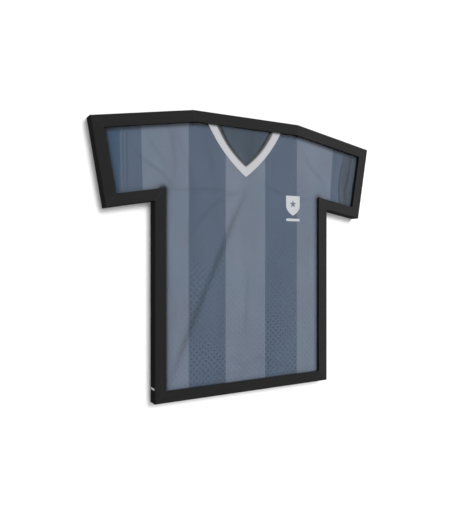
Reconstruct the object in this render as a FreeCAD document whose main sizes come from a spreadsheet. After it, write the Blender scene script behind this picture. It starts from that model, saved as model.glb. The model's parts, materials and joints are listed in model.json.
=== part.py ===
import FreeCAD, Part
import math
import os

import Sketcher

# A wall-hung display frame in the outline of a T-shirt, with a jersey folded around a board inside.
# Millimetres. +X is to the right as seen from the front, +Y goes into the wall and +Z is up.
# The origin is midway between the two hanging holes, on the wall's face.
# "left" and "right" are as seen from the front.

DRIVING_SIZES = (
    # corners of the outline: half widths, and heights above the bottom edge
    ("half_top", 153.0),
    ("top_height", 686.0),
    ("half_tip", 398.5),
    ("tip_height", 643.0),
    ("half_cuff", 364.0),
    ("cuff_height", 445.0),
    ("half_body", 250.0),
    ("armpit_height", 465.0),
    ("bottom_height", 0.0),
    # section of the moulding, depths measured from the front face
    ("face_width", 27.5),
    ("rail_depth", 28.5),
    ("lip_thickness", 5.0),
    ("rabbet_width", 7.0),
    ("ledge_back", 18.0),
    ("wall_width", 10.0),
    ("edge_round", 2.0),
    # sheets stacked in the rabbet
    ("sheet_clearance", 0.5),
    ("window_thickness", 1.5),
    ("jersey_front", 7.7),
    ("cloth_thickness", 1.2),
    ("board_thickness", 3.0),
    ("board_clearance", 0.1),
    ("fold_back", 14.6),
    ("fold_width", 45.0),
    ("panel_front", 14.8),
    ("panel_thickness", 3.0),
    # neck opening: half widths at the top edge of the jersey, heights of the tips, radii of the bowed sides
    ("collar_half", 109.0),
    ("collar_tip", 537.6),
    ("collar_radius", 500.0),
    ("trim_half", 84.0),
    ("trim_tip", 564.5),
    ("trim_radius", 430.0),
    ("neck_half", 79.0),
    ("neck_tip", 570.0),
    ("neck_radius", 390.0),
    ("collar_thickness", 0.7),
    ("trim_thickness", 0.6),
    ("neck_clearance", 0.3),
    ("neck_thickness", 0.6),
    # emblem on the chest
    ("emblem_across", 141.0),
    ("emblem_top", 498.0),
    ("emblem_width", 44.0),
    ("emblem_side", 30.0),
    ("emblem_height", 52.0),
    ("emblem_thickness", 0.3),
    ("bar_top", 438.0),
    ("bar_height", 7.0),
    # blank plate on the outer side of the left side rail
    ("plate_height", 9.0),
    ("plate_above_bottom", 29.0),
    ("plate_setback", 3.5),
    ("plate_length", 21.0),
    ("plate_thickness", 0.4),
    # turn buttons and their screws
    ("button_radius", 4.5),
    ("button_reach", 18.0),
    ("button_thickness", 1.5),
    ("button_gap", 0.2),
    ("screw_hole_radius", 1.55),
    ("button_edge", 0.4),
    ("finger_lip_width", 7.0),
    ("finger_lip_length", 1.5),
    ("finger_lip_height", 3.5),
    ("screw_radius", 1.5),
    ("screw_bite", 9.0),
    ("pan_head_radius", 3.0),
    ("pan_head_height", 1.9),
    ("pan_head_gap", 0.1),
    ("pan_head_round", 1.1),
    ("recess_arm", 1.5),
    ("recess_width", 0.7),
    ("recess_depth", 0.9),
    # keyhole hangers behind the top rail
    ("hanger_spacing", 200.0),
    ("hanger_height", 673.0),
    ("hanger_length", 42.0),
    ("hanger_width", 18.0),
    ("hanger_below_hole", 6.5),
    ("hanger_thickness", 1.5),
    ("hanger_corner", 3.0),
    ("keyhole_radius", 4.5),
    ("keyhole_neck_radius", 2.1),
    ("keyhole_travel", 6.0),
    ("head_pocket_radius", 5.0),
    ("head_pocket_depth", 6.0),
    ("hanger_screw_spacing", 30.0),
    ("hanger_screw_height", 681.0),
    ("flat_head_radius", 2.75),
    ("flat_head_height", 1.3),
    ("flat_head_bevel", 1.2),
    ("countersink_bevel", 1.35),
    ("block_length", 46.0),
    # V-nails across the mitres
    ("nail_leg", 6.0),
    ("nail_sheet", 0.7),
    ("nail_length", 10.0),
    ("nail_proud", 0.1),
    ("nail_sunk", 0.3),
)

# Corner name: side of the centre line, half width, height.
CORNERS = {
    "top_left": (-1, "half_top", "top_height"),
    "top_right": (1, "half_top", "top_height"),
    "right_tip": (1, "half_tip", "tip_height"),
    "right_cuff": (1, "half_cuff", "cuff_height"),
    "right_armpit": (1, "half_body", "armpit_height"),
    "bottom_right": (1, "half_body", "bottom_height"),
    "bottom_left": (-1, "half_body", "bottom_height"),
    "left_armpit": (-1, "half_body", "armpit_height"),
    "left_cuff": (-1, "half_cuff", "cuff_height"),
    "left_tip": (-1, "half_tip", "tip_height"),
}
CORNER_ORDER = list(CORNERS)

# One length of moulding runs from each corner to the next, clockwise as seen from the front.
RAIL_NAMES = (
    "top_rail",
    "right_shoulder_rail",
    "right_cuff_rail",
    "right_underarm_rail",
    "right_side_rail",
    "bottom_rail",
    "left_side_rail",
    "left_underarm_rail",
    "left_cuff_rail",
    "left_shoulder_rail",
)

# Turn button: the rail that it is screwed to, and how far along that rail.
TURN_BUTTONS = {
    "right_shoulder_turn_button": ("right_shoulder_rail", 0.5),
    "right_cuff_turn_button": ("right_cuff_rail", 0.5),
    "upper_right_side_turn_button": ("right_side_rail", 0.25),
    "lower_right_side_turn_button": ("right_side_rail", 0.75),
    "right_bottom_turn_button": ("bottom_rail", 0.25),
    "left_bottom_turn_button": ("bottom_rail", 0.75),
    "lower_left_side_turn_button": ("left_side_rail", 0.25),
    "upper_left_side_turn_button": ("left_side_rail", 0.75),
    "left_cuff_turn_button": ("left_cuff_rail", 0.5),
    "left_shoulder_turn_button": ("left_shoulder_rail", 0.5),
}

TOLERANCE = 1e-4
X_AXIS = FreeCAD.Vector(1, 0, 0)
Y_AXIS = FreeCAD.Vector(0, 1, 0)
Z_AXIS = FreeCAD.Vector(0, 0, 1)
NO_TURN = FreeCAD.Rotation()
# Flat sheets are drawn as seen from the front, so their own Z axis comes out of the wall.
SHEET_TURN = FreeCAD.Rotation(X_AXIS, 90)
# Rails, buttons and hardware have their own Z axis going into the wall.
RAIL_TURN = FreeCAD.Rotation(X_AXIS, -90)
QUARTER_TURN = FreeCAD.Rotation(Z_AXIS, 90)

doc = FreeCAD.newDocument("JerseyDisplayFrame")
nodes = []


# ---------------------------------------------------------------- sheet of sizes and small helpers

def make_size_sheet():
    sheet = doc.addObject("Spreadsheet::Sheet", "Sizes")
    for row, (name, value) in enumerate(DRIVING_SIZES, start=1):
        sheet.set("A%d" % row, name)
        sheet.set("B%d" % row, str(value))
        sheet.setAlias("B%d" % row, name)
    doc.recompute()
    return sheet


sizes = make_size_sheet()


def size(name):
    return float(sizes.get(name))


def value_of(expression):
    return float(sizes.evalExpression(expression))


def keep(part, name):
    """Give a finished sub-part its own name and put it on the list of nodes to write."""
    part.Label = name
    nodes.append(part)
    return part


def signed(sign, name):
    return "Sizes.%s * %d" % (name, sign)


def place(across, depth, height, turn):
    """Placement from a position in the outline's terms: across, depth behind the front, height."""
    base = FreeCAD.Vector(across, depth - size("rail_depth"), height - size("hanger_height"))
    return FreeCAD.Placement(base, turn)


# ---------------------------------------------------------------- sketches

def plane_sketch(body, name, level):
    """Sketch parallel to the body's XY plane, at the height that an expression gives."""
    sketch = body.newObject("Sketcher::SketchObject", name)
    plane = [item for item in body.Origin.OriginFeatures if item.Role == "XY_Plane"][0]
    sketch.AttachmentSupport = [(plane, "")]
    sketch.MapMode = "FlatFace"
    sketch.setExpression("AttachmentOffset.Base.z", level)
    return sketch


def bind(sketch, kind, references, value, expression):
    number = sketch.addConstraint(Sketcher.Constraint(kind, *references, value))
    sketch.setExpression("Constraints[%d]" % number, expression)


def bind_point(sketch, line, end, across, up):
    """Hold one end of a piece of geometry at the place that two expressions give."""
    bind(sketch, "DistanceX", (-1, 1, line, end), value_of(across), across)
    bind(sketch, "DistanceY", (-1, 1, line, end), value_of(up), up)


def polygon(sketch, points):
    """Closed polygon through points that are pairs of expressions."""
    corners = [FreeCAD.Vector(value_of(across), value_of(up), 0) for across, up in points]
    first = sketch.GeometryCount
    count = len(corners)
    for index in range(count):
        sketch.addGeometry(Part.LineSegment(corners[index], corners[(index + 1) % count]))
    for index in range(count):
        after = first + (index + 1) % count
        sketch.addConstraint(Sketcher.Constraint("Coincident", first + index, 2, after, 1))
    for index, (across, up) in enumerate(points):
        bind_point(sketch, first + index, 1, across, up)


def rectangle(sketch, left, bottom, right, top):
    polygon(sketch, [(left, bottom), (right, bottom), (right, top), (left, top)])


def circle(sketch, across, up, radius):
    centre = FreeCAD.Vector(value_of(across), value_of(up), 0)
    index = sketch.addGeometry(Part.Circle(centre, Z_AXIS, value_of(radius)))
    bind(sketch, "Radius", (index,), value_of(radius), radius)
    bind_point(sketch, index, 3, across, up)


def slot(sketch, along_x, start, end, other, radius):
    """Round-ended slot between two centres on a line parallel to X or Y."""
    def centre_of(position):
        return (position, other) if along_x else (other, position)

    arcs = []
    middle_angle = 180 if along_x else 270
    for position, turned in ((start, 0), (end, 180)):
        across, up = centre_of(position)
        centre = FreeCAD.Vector(value_of(across), value_of(up), 0)
        base_circle = Part.Circle(centre, Z_AXIS, value_of(radius))
        begin = math.radians(middle_angle + turned - 90)
        finish = math.radians(middle_angle + turned + 90)
        arc = sketch.addGeometry(Part.ArcOfCircle(base_circle, begin, finish))
        bind_point(sketch, arc, 3, across, up)
        bind(sketch, "Radius", (arc,), value_of(radius), radius)
        arcs.append(arc)
    for this, that in ((arcs[0], arcs[1]), (arcs[1], arcs[0])):
        line = sketch.addGeometry(Part.LineSegment(
            sketch.getPoint(this, 2), sketch.getPoint(that, 1)))
        sketch.addConstraint(Sketcher.Constraint("Tangent", this, 2, line, 1))
        sketch.addConstraint(Sketcher.Constraint("Tangent", line, 2, that, 1))


def bowed_v(name, half, top, tip, radius):
    """Sketch of a V with a flat top and two sides that bow outwards, about the Y axis."""
    sketch = doc.addObject("Sketcher::SketchObject", name)
    half_value = value_of(half)
    top_value = value_of(top)
    tip_value = value_of(tip)
    radius_value = value_of(radius)
    chord_x = half_value
    chord_y = top_value - tip_value
    chord = math.hypot(chord_x, chord_y)
    back = math.sqrt(radius_value ** 2 - (chord / 2) ** 2)
    centre_x = chord_x / 2 - back * chord_y / chord
    centre_y = (top_value + tip_value) / 2 + back * chord_x / chord
    tip_angle = math.atan2(tip_value - centre_y, -centre_x)
    top_angle = math.atan2(top_value - centre_y, half_value - centre_x)
    right_circle = Part.Circle(FreeCAD.Vector(centre_x, centre_y, 0), Z_AXIS, radius_value)
    left_circle = Part.Circle(FreeCAD.Vector(-centre_x, centre_y, 0), Z_AXIS, radius_value)
    right = sketch.addGeometry(Part.ArcOfCircle(right_circle, tip_angle, top_angle))
    left = sketch.addGeometry(Part.ArcOfCircle(left_circle, math.pi - top_angle, math.pi - tip_angle))
    closing = sketch.addGeometry(Part.LineSegment(
        FreeCAD.Vector(half_value, top_value, 0), FreeCAD.Vector(-half_value, top_value, 0)))
    sketch.addConstraint(Sketcher.Constraint("Coincident", right, 2, closing, 1))
    sketch.addConstraint(Sketcher.Constraint("Coincident", closing, 2, left, 1))
    sketch.addConstraint(Sketcher.Constraint("Coincident", left, 2, right, 1))
    bind_point(sketch, closing, 1, half, top)
    bind_point(sketch, closing, 2, "-(%s)" % half, top)
    sketch.addConstraint(Sketcher.Constraint("PointOnObject", right, 1, -2))
    bind(sketch, "DistanceY", (-1, 1, right, 1), tip_value, tip)
    bind(sketch, "Radius", (right,), radius_value, radius)
    bind(sketch, "Radius", (left,), radius_value, radius)
    return sketch


# ---------------------------------------------------------------- features

def pad(body, sketch, length):
    feature = body.newObject("PartDesign::Pad", sketch.Name + "Pad")
    feature.Profile = sketch
    feature.setExpression("Length", length)
    body.Tip = feature
    return feature


def pocket(body, sketch, length):
    """Cut a sketch's shape downwards, and check that it took material away."""
    doc.recompute()
    before = body.Shape.Volume
    feature = body.newObject("PartDesign::Pocket", sketch.Name + "Pocket")
    feature.Profile = sketch
    feature.setExpression("Length", length)
    body.Tip = feature
    doc.recompute()
    if body.Shape.Volume >= before:
        raise RuntimeError("%s removes nothing from %s" % (feature.Name, body.Name))
    return feature


def dress_edges(body, kind, size_expression, chosen):
    """Fillet or chamfer the tip's edges that the test picks."""
    doc.recompute()
    base = body.Tip
    names = ["Edge%d" % (number + 1) for number, edge in enumerate(base.Shape.Edges) if chosen(edge)]
    if not names:
        raise RuntimeError("no edge to dress on %s" % body.Name)
    feature = body.newObject("PartDesign::" + kind, body.Name + kind)
    feature.Base = (base, names)
    feature.setExpression("Radius" if kind == "Fillet" else "Size", size_expression)
    body.Tip = feature
    return feature


def lies_at(edge, axis, level):
    """True for an edge that lies wholly at one level of an axis, 0 for X, 1 for Y, 2 for Z."""
    low = (edge.BoundBox.XMin, edge.BoundBox.YMin, edge.BoundBox.ZMin)[axis]
    high = (edge.BoundBox.XMax, edge.BoundBox.YMax, edge.BoundBox.ZMax)[axis]
    return abs(low - level) < TOLERANCE and abs(high - level) < TOLERANCE


def is_round(edge, radius_name):
    """True for a full circle of the named radius."""
    return edge.Closed and abs(edge.Curve.Radius - size(radius_name)) < TOLERANCE


def slab(name, profile, thickness):
    """Solid sheet from a flat profile."""
    extrusion = doc.addObject("Part::Extrusion", name)
    extrusion.Base = profile
    extrusion.DirMode = "Custom"
    extrusion.Dir = Z_AXIS
    extrusion.Solid = True
    extrusion.setExpression("LengthFwd", thickness)
    return extrusion


def cut(name, base, tool):
    result = doc.addObject("Part::Cut", name)
    result.Base = base
    result.Tool = tool
    return result


# ---------------------------------------------------------------- outline

def corner_point(name):
    sign, half, height = CORNERS[name]
    return sign * size(half), size(height)


def corner_expressions(name):
    sign, half, height = CORNERS[name]
    return signed(sign, half), "Sizes." + height


def heading(start, end):
    """Clockwise angle from +X of the run between two corners, in degrees."""
    x_start, z_start = corner_point(start)
    x_end, z_end = corner_point(end)
    return math.degrees(math.atan2(z_start - z_end, x_end - x_start))


def heading_expression(start, end):
    x_start, z_start = corner_expressions(start)
    x_end, z_end = corner_expressions(end)
    return "atan2(%s - %s; %s - (%s))" % (z_start, z_end, x_end, x_start)


def length_expression(start, end):
    x_start, z_start = corner_expressions(start)
    x_end, z_end = corner_expressions(end)
    return "sqrt((%s - (%s))^2 + (%s - %s)^2)" % (x_end, x_start, z_end, z_start)


def neighbour(name, steps):
    index = CORNER_ORDER.index(name) + steps
    return CORNER_ORDER[index % len(CORNER_ORDER)]


def mitre_expression(name):
    """Run along a rail, per unit of width, that its mitre takes up at a corner."""
    before = heading_expression(neighbour(name, -1), name)
    after = heading_expression(name, neighbour(name, 1))
    return "tan((%s - %s) / 2)" % (after, before)


def make_outline():
    sketch = doc.addObject("Sketcher::SketchObject", "Outline")
    polygon(sketch, [corner_expressions(name) for name in CORNER_ORDER])
    return sketch


outline = make_outline()


def inset_outline(name, inset):
    """The frame's outline, moved inwards by the amount that an expression gives."""
    offset = doc.addObject("Part::Offset2D", name)
    offset.Source = outline
    offset.Join = "Intersection"
    offset.setExpression("Value", "-(%s)" % inset)
    return offset


# ---------------------------------------------------------------- moulding

class Rail:
    """One mitred length of moulding. Its own X runs along the outer edge, Y inwards, Z backwards."""

    def __init__(self, name, start, end):
        self.name = name
        self.start = start
        self.end = end
        self.length = length_expression(start, end)
        x_start, z_start = corner_point(start)
        turn = FreeCAD.Rotation(Y_AXIS, heading(start, end)).multiply(RAIL_TURN)
        self.placement = place(x_start, 0, z_start, turn)
        self.body = doc.addObject("PartDesign::Body", name)

    def strip(self, name, level, low, high, depth):
        """Pocket along the whole rail, between two distances from the outer edge."""
        overrun = "Sizes.face_width * 2"
        sketch = plane_sketch(self.body, self.name + name, level)
        rectangle(sketch, "-(%s)" % overrun, low, "%s + %s" % (self.length, overrun), high)
        pocket(self.body, sketch, depth)

    def build(self):
        footprint = plane_sketch(self.body, self.name + "Footprint", "0")
        inner = "Sizes.face_width"
        from_start = "%s * %s" % (inner, mitre_expression(self.start))
        from_end = "%s - %s * %s" % (self.length, inner, mitre_expression(self.end))
        polygon(footprint, [("0", "0"), (self.length, "0"), (from_end, inner), (from_start, inner)])
        pad(self.body, footprint, "Sizes.rail_depth")
        ledge = "Sizes.face_width - Sizes.rabbet_width"
        beyond = "Sizes.face_width * 2"
        self.strip("Rabbet", "Sizes.rail_depth", ledge, beyond, "Sizes.rail_depth - Sizes.lip_thickness")
        self.strip("Recess", "Sizes.rail_depth", "Sizes.wall_width", beyond,
                   "Sizes.rail_depth - Sizes.ledge_back")
        dress_edges(self.body, "Fillet", "Sizes.edge_round",
                    lambda edge: lies_at(edge, 1, 0) and lies_at(edge, 2, 0))

    def pilot_holes(self, name, level, places, depth):
        sketch = plane_sketch(self.body, self.name + name, level)
        for along, inwards in places:
            circle(sketch, along, inwards, "Sizes.screw_radius")
        pocket(self.body, sketch, depth)

    def finish(self):
        self.body.Placement = self.placement
        keep(self.body, self.name)


LEDGE_CENTRE = "(Sizes.face_width - Sizes.rabbet_width + Sizes.wall_width) / 2"


def make_rails():
    rails = {}
    for index, name in enumerate(RAIL_NAMES):
        start = CORNER_ORDER[index]
        rail = Rail(name, start, neighbour(start, 1))
        rail.build()
        rails[name] = rail
    for name, rail in rails.items():
        places = [("%s * %s" % (rail.length, along), LEDGE_CENTRE)
                  for on_rail, along in TURN_BUTTONS.values() if on_rail == name]
        if places:
            rail.pilot_holes("ButtonPilots", "Sizes.ledge_back", places, "Sizes.screw_bite")
    return rails


# ---------------------------------------------------------------- fasteners

def cross_recess(body, name, level):
    """Plus-shaped driver recess cut down from a level."""
    arm = "Sizes.recess_arm"
    half = "Sizes.recess_width / 2"
    points = []
    for sign_x, sign_y, wide_first in ((1, 1, True), (-1, 1, False), (-1, -1, True), (1, -1, False)):
        corner = [
            ("%s * %d" % (arm, sign_x), "%s * %d" % (half, sign_y)),
            ("%s * %d" % (half, sign_x), "%s * %d" % (half, sign_y)),
            ("%s * %d" % (half, sign_x), "%s * %d" % (arm, sign_y)),
        ]
        points += corner if wide_first else corner[::-1]
    sketch = plane_sketch(body, name, level)
    polygon(sketch, points)
    pocket(body, sketch, "Sizes.recess_depth")


def make_pan_screw():
    """Pan-head screw: its own Z points out of its head, and the head's underside is at zero."""
    body = doc.addObject("PartDesign::Body", "PanScrew")
    bite = "Sizes.screw_bite + Sizes.button_gap + Sizes.button_thickness + Sizes.pan_head_gap"
    shank = plane_sketch(body, "PanShank", "-(%s)" % bite)
    circle(shank, "0", "0", "Sizes.screw_radius")
    pad(body, shank, bite)
    head = plane_sketch(body, "PanHead", "0")
    circle(head, "0", "0", "Sizes.pan_head_radius")
    pad(body, head, "Sizes.pan_head_height")
    dress_edges(body, "Fillet", "Sizes.pan_head_round",
                lambda edge: lies_at(edge, 2, size("pan_head_height")))
    cross_recess(body, "PanRecess", "Sizes.pan_head_height")
    return body


def make_flat_screw():
    """Flat-head screw: its own Z points out of its head, and the head's top is at zero."""
    body = doc.addObject("PartDesign::Body", "FlatScrew")
    reach = "Sizes.hanger_thickness + Sizes.screw_bite"
    shank = plane_sketch(body, "FlatShank", "-(%s)" % reach)
    circle(shank, "0", "0", "Sizes.screw_radius")
    pad(body, shank, reach)
    head = plane_sketch(body, "FlatHead", "-Sizes.flat_head_height")
    circle(head, "0", "0", "Sizes.flat_head_radius")
    pad(body, head, "Sizes.flat_head_height")
    dress_edges(body, "Chamfer", "Sizes.flat_head_bevel",
                lambda edge: lies_at(edge, 2, -size("flat_head_height"))
                and is_round(edge, "flat_head_radius"))
    cross_recess(body, "FlatRecess", "0")
    return body


def group(name, source, placements):
    """One node of identical, separate solids at the given placements."""
    links = []
    for number, placement in enumerate(placements, start=1):
        link = doc.addObject("App::Link", "%s%d" % (source.Name, number))
        link.LinkedObject = source
        link.Placement = placement
        links.append(link)
    compound = doc.addObject("Part::Compound", name)
    compound.Links = links
    return keep(compound, name)


def make_v_nail():
    """Two legs of folded sheet at a right angle, opening along X and standing along Z."""
    body = doc.addObject("PartDesign::Body", "VNail")
    sketch = plane_sketch(body, "VNailSection", "0")
    leg = "Sizes.nail_leg * cos(45)"
    sheet = "Sizes.nail_sheet * cos(45)"
    polygon(sketch, [
        ("0", "0"),
        (leg, "-(%s)" % leg),
        ("%s + %s" % (leg, sheet), "%s - %s" % (sheet, leg)),
        ("2 * %s" % sheet, "0"),
        ("%s + %s" % (leg, sheet), "%s - %s" % (leg, sheet)),
        (leg, leg),
    ])
    pad(body, sketch, "Sizes.nail_length")
    return body


def mitre_placement(name, inset, depth):
    """On a corner's mitre line, at an inset from the outline, with X pointing inwards along it."""
    before = heading(neighbour(name, -1), name)
    turn = heading(name, neighbour(name, 1)) - before
    turn = (turn + 180) % 360 - 180
    inwards = before + turn / 2 + 90
    run = inset / math.cos(math.radians(turn / 2))
    x_corner, z_corner = corner_point(name)
    across = x_corner + run * math.cos(math.radians(inwards))
    height = z_corner - run * math.sin(math.radians(inwards))
    return place(across, depth, height, FreeCAD.Rotation(Y_AXIS, inwards).multiply(RAIL_TURN))


def make_v_nails():
    """At every mitre, one nail behind the ledge and one in the outer wall."""
    ledge_inset = value_of(LEDGE_CENTRE) - size("nail_leg") / 2
    ledge_depth = size("ledge_back") - size("nail_length") + size("nail_proud")
    wall_inset = (size("wall_width") - size("nail_leg")) / 2
    wall_depth = size("rail_depth") - size("nail_length") - size("nail_sunk")
    placements = []
    for name in CORNER_ORDER:
        placements.append(mitre_placement(name, ledge_inset, ledge_depth))
        placements.append(mitre_placement(name, wall_inset, wall_depth))
    group("corner_v_nails", make_v_nail(), placements)


# ---------------------------------------------------------------- turn buttons

def make_turn_button(name):
    """Tab that turns about its own Z axis; it reaches along X, with a finger lip at its end."""
    body = doc.addObject("PartDesign::Body", name)
    blade = plane_sketch(body, name + "Blade", "0")
    slot(blade, True, "0", "Sizes.button_reach - Sizes.button_radius", "0", "Sizes.button_radius")
    pad(body, blade, "Sizes.button_thickness")
    dress_edges(body, "Fillet", "Sizes.button_edge",
                lambda edge: lies_at(edge, 2, size("button_thickness")))
    lip = plane_sketch(body, name + "FingerLip", "0")
    lip_end = "Sizes.button_reach - Sizes.button_radius / 2"
    rectangle(lip, "%s - Sizes.finger_lip_length" % lip_end, "-Sizes.finger_lip_width / 2",
              lip_end, "Sizes.finger_lip_width / 2")
    pad(body, lip, "Sizes.finger_lip_height")
    hole = plane_sketch(body, name + "Hole", "Sizes.button_thickness")
    circle(hole, "0", "0", "Sizes.screw_hole_radius")
    pocket(body, hole, "Sizes.button_thickness")
    return body


def make_turn_buttons(rails):
    screw_placements = []
    under_head = size("button_gap") + size("button_thickness") + size("pan_head_gap")
    for name, (rail_name, along) in TURN_BUTTONS.items():
        rail = rails[rail_name]
        pivot = FreeCAD.Vector(value_of(rail.length) * along, value_of(LEDGE_CENTRE), size("ledge_back"))
        on_ledge = rail.placement.multiply(FreeCAD.Placement(pivot, QUARTER_TURN))
        raised = FreeCAD.Placement(FreeCAD.Vector(0, 0, size("button_gap")), NO_TURN)
        button = make_turn_button(name)
        button.Placement = on_ledge.multiply(raised)
        keep(button, name)
        head = FreeCAD.Placement(FreeCAD.Vector(0, 0, under_head), NO_TURN)
        screw_placements.append(on_ledge.multiply(head))
    group("turn_button_screws", make_pan_screw(), screw_placements)


# ---------------------------------------------------------------- hanging hardware

def hanger_across(side):
    return "Sizes.hanger_spacing / 2 * %d" % side


def rail_along(across):
    """Distance along the top rail of a place across the frame."""
    return "%s + Sizes.half_top" % across


def notch_top_rail(rails):
    """Seats for the plates, pockets for the wall screws' heads, and pilot holes, from the back."""
    rail = rails["top_rail"]
    plate_edge = "Sizes.top_height - Sizes.hanger_height - Sizes.hanger_width + Sizes.hanger_below_hole"
    hole_down = "Sizes.top_height - Sizes.hanger_height"
    seat = plane_sketch(rail.body, "HangerSeats", "Sizes.rail_depth")
    heads = plane_sketch(rail.body, "HeadPockets", "Sizes.rail_depth - Sizes.hanger_thickness")
    pilots = []
    for side in (-1, 1):
        centre = rail_along(hanger_across(side))
        rectangle(seat, "%s - Sizes.hanger_length / 2" % centre, plate_edge,
                  "%s + Sizes.hanger_length / 2" % centre, "Sizes.face_width")
        slot(heads, False, "%s - Sizes.keyhole_travel" % hole_down, hole_down, centre,
             "Sizes.head_pocket_radius")
        for screw_side in (-1, 1):
            pilots.append(("%s + Sizes.hanger_screw_spacing / 2 * %d" % (centre, screw_side),
                           "Sizes.top_height - Sizes.hanger_screw_height"))
    pocket(rail.body, seat, "Sizes.hanger_thickness")
    pocket(rail.body, heads, "Sizes.head_pocket_depth")
    rail.pilot_holes("HangerPilots", "Sizes.rail_depth - Sizes.hanger_thickness", pilots,
                     "Sizes.screw_bite")


def make_hanger_plate(name, side):
    """Keyhole plate, with its front face at zero and the round hole's centre on its own axis."""
    body = doc.addObject("PartDesign::Body", name)
    blank = plane_sketch(body, name + "Blank", "0")
    above = "Sizes.hanger_width - Sizes.hanger_below_hole"
    rectangle(blank, "-Sizes.hanger_length / 2", "-(%s)" % above,
              "Sizes.hanger_length / 2", "Sizes.hanger_below_hole")
    pad(body, blank, "Sizes.hanger_thickness")
    dress_edges(body, "Fillet", "Sizes.hanger_corner",
                lambda edge: edge.BoundBox.ZLength > size("hanger_thickness") / 2)
    keyhole = plane_sketch(body, name + "Keyhole", "Sizes.hanger_thickness")
    circle(keyhole, "0", "0", "Sizes.keyhole_radius")
    pocket(body, keyhole, "Sizes.hanger_thickness")
    neck = plane_sketch(body, name + "Neck", "Sizes.hanger_thickness")
    slot(neck, False, "-Sizes.keyhole_travel", "0", "0", "Sizes.keyhole_neck_radius")
    pocket(body, neck, "Sizes.hanger_thickness")
    screws = plane_sketch(body, name + "ScrewHoles", "Sizes.hanger_thickness")
    screw_down = "Sizes.hanger_height - Sizes.hanger_screw_height"
    for screw_side in (-1, 1):
        circle(screws, "Sizes.hanger_screw_spacing / 2 * %d" % screw_side, screw_down,
               "Sizes.screw_hole_radius")
    pocket(body, screws, "Sizes.hanger_thickness")
    dress_edges(body, "Chamfer", "Sizes.countersink_bevel",
                lambda edge: lies_at(edge, 2, size("hanger_thickness"))
                and is_round(edge, "screw_hole_radius"))
    body.Placement = place(value_of(hanger_across(side)), size("rail_depth") - size("hanger_thickness"),
                           size("hanger_height"), RAIL_TURN)
    return keep(body, name)


def make_hanger_block(name, side):
    """Glue block that fills the recess behind the top rail, under a plate."""
    body = doc.addObject("PartDesign::Body", name)
    blank = plane_sketch(body, name + "Blank", "0")
    rectangle(blank, "-Sizes.block_length / 2", "Sizes.wall_width",
              "Sizes.block_length / 2", "Sizes.face_width - Sizes.rabbet_width")
    height = "Sizes.rail_depth - Sizes.hanger_thickness - Sizes.ledge_back"
    pad(body, blank, height)
    head = plane_sketch(body, name + "HeadPocket", height)
    hole_down = "Sizes.top_height - Sizes.hanger_height"
    slot(head, False, "%s - Sizes.keyhole_travel" % hole_down, hole_down, "0",
         "Sizes.head_pocket_radius")
    pocket(body, head, "Sizes.head_pocket_depth")
    body.Placement = place(value_of(hanger_across(side)), size("ledge_back"), size("top_height"), RAIL_TURN)
    return keep(body, name)


def make_hangers(rails):
    notch_top_rail(rails)
    screw_placements = []
    for side, word in ((-1, "left"), (1, "right")):
        make_hanger_block(word + "_hanger_block", side)
        make_hanger_plate(word + "_keyhole_hanger", side)
        for screw_side in (-1, 1):
            across = value_of(hanger_across(side)) + screw_side * size("hanger_screw_spacing") / 2
            screw_placements.append(
                place(across, size("rail_depth"), size("hanger_screw_height"), RAIL_TURN))
    group("hanger_screws", make_flat_screw(), screw_placements)


# ---------------------------------------------------------------- sheets in the rabbet

RABBET_INSET = "Sizes.face_width - Sizes.rabbet_width + Sizes.sheet_clearance"
# The jersey stands a little clear of the rabbet, and the board is smaller by the cloth's thickness.
JERSEY_INSET = RABBET_INSET + " + Sizes.sheet_clearance / 2"
BOARD_INSET = JERSEY_INSET + " + Sizes.cloth_thickness + Sizes.board_clearance"
BOARD_FRONT = "Sizes.jersey_front + Sizes.cloth_thickness"
BOARD_BACK = BOARD_FRONT + " + Sizes.board_thickness"
JERSEY_TOP = "Sizes.top_height - (%s)" % JERSEY_INSET


def finish_sheet(part, name):
    """Stand a sheet up behind the frame's front face, centred on the frame."""
    part.Placement = place(0, 0, 0, SHEET_TURN)
    return keep(part, name)


def upright_sheet(name, profile, front, back):
    """Sheet between two depths behind the frame's front face, as a node."""
    sheet = slab(name, profile, "(%s) - (%s)" % (back, front))
    sheet.Placement = place(0, value_of(back), 0, SHEET_TURN)
    return keep(sheet, name)


def flat_layer(name, profile, front, back):
    """The same sheet lying down, as a blank or tool: its front face is uppermost."""
    layer = slab(name, profile, "(%s) - (%s)" % (back, front))
    layer.setExpression("Placement.Base.z", "-(%s)" % back)
    return layer


def make_stack():
    rabbet_shape = inset_outline("RabbetShape", RABBET_INSET)
    upright_sheet("front_window", rabbet_shape, "Sizes.lip_thickness",
                  "Sizes.lip_thickness + Sizes.window_thickness")
    board_shape = inset_outline("BoardShape", BOARD_INSET)
    upright_sheet("insert_board", board_shape, BOARD_FRONT, BOARD_BACK)
    upright_sheet("back_panel", rabbet_shape, "Sizes.panel_front",
                  "Sizes.panel_front + Sizes.panel_thickness")


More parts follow.
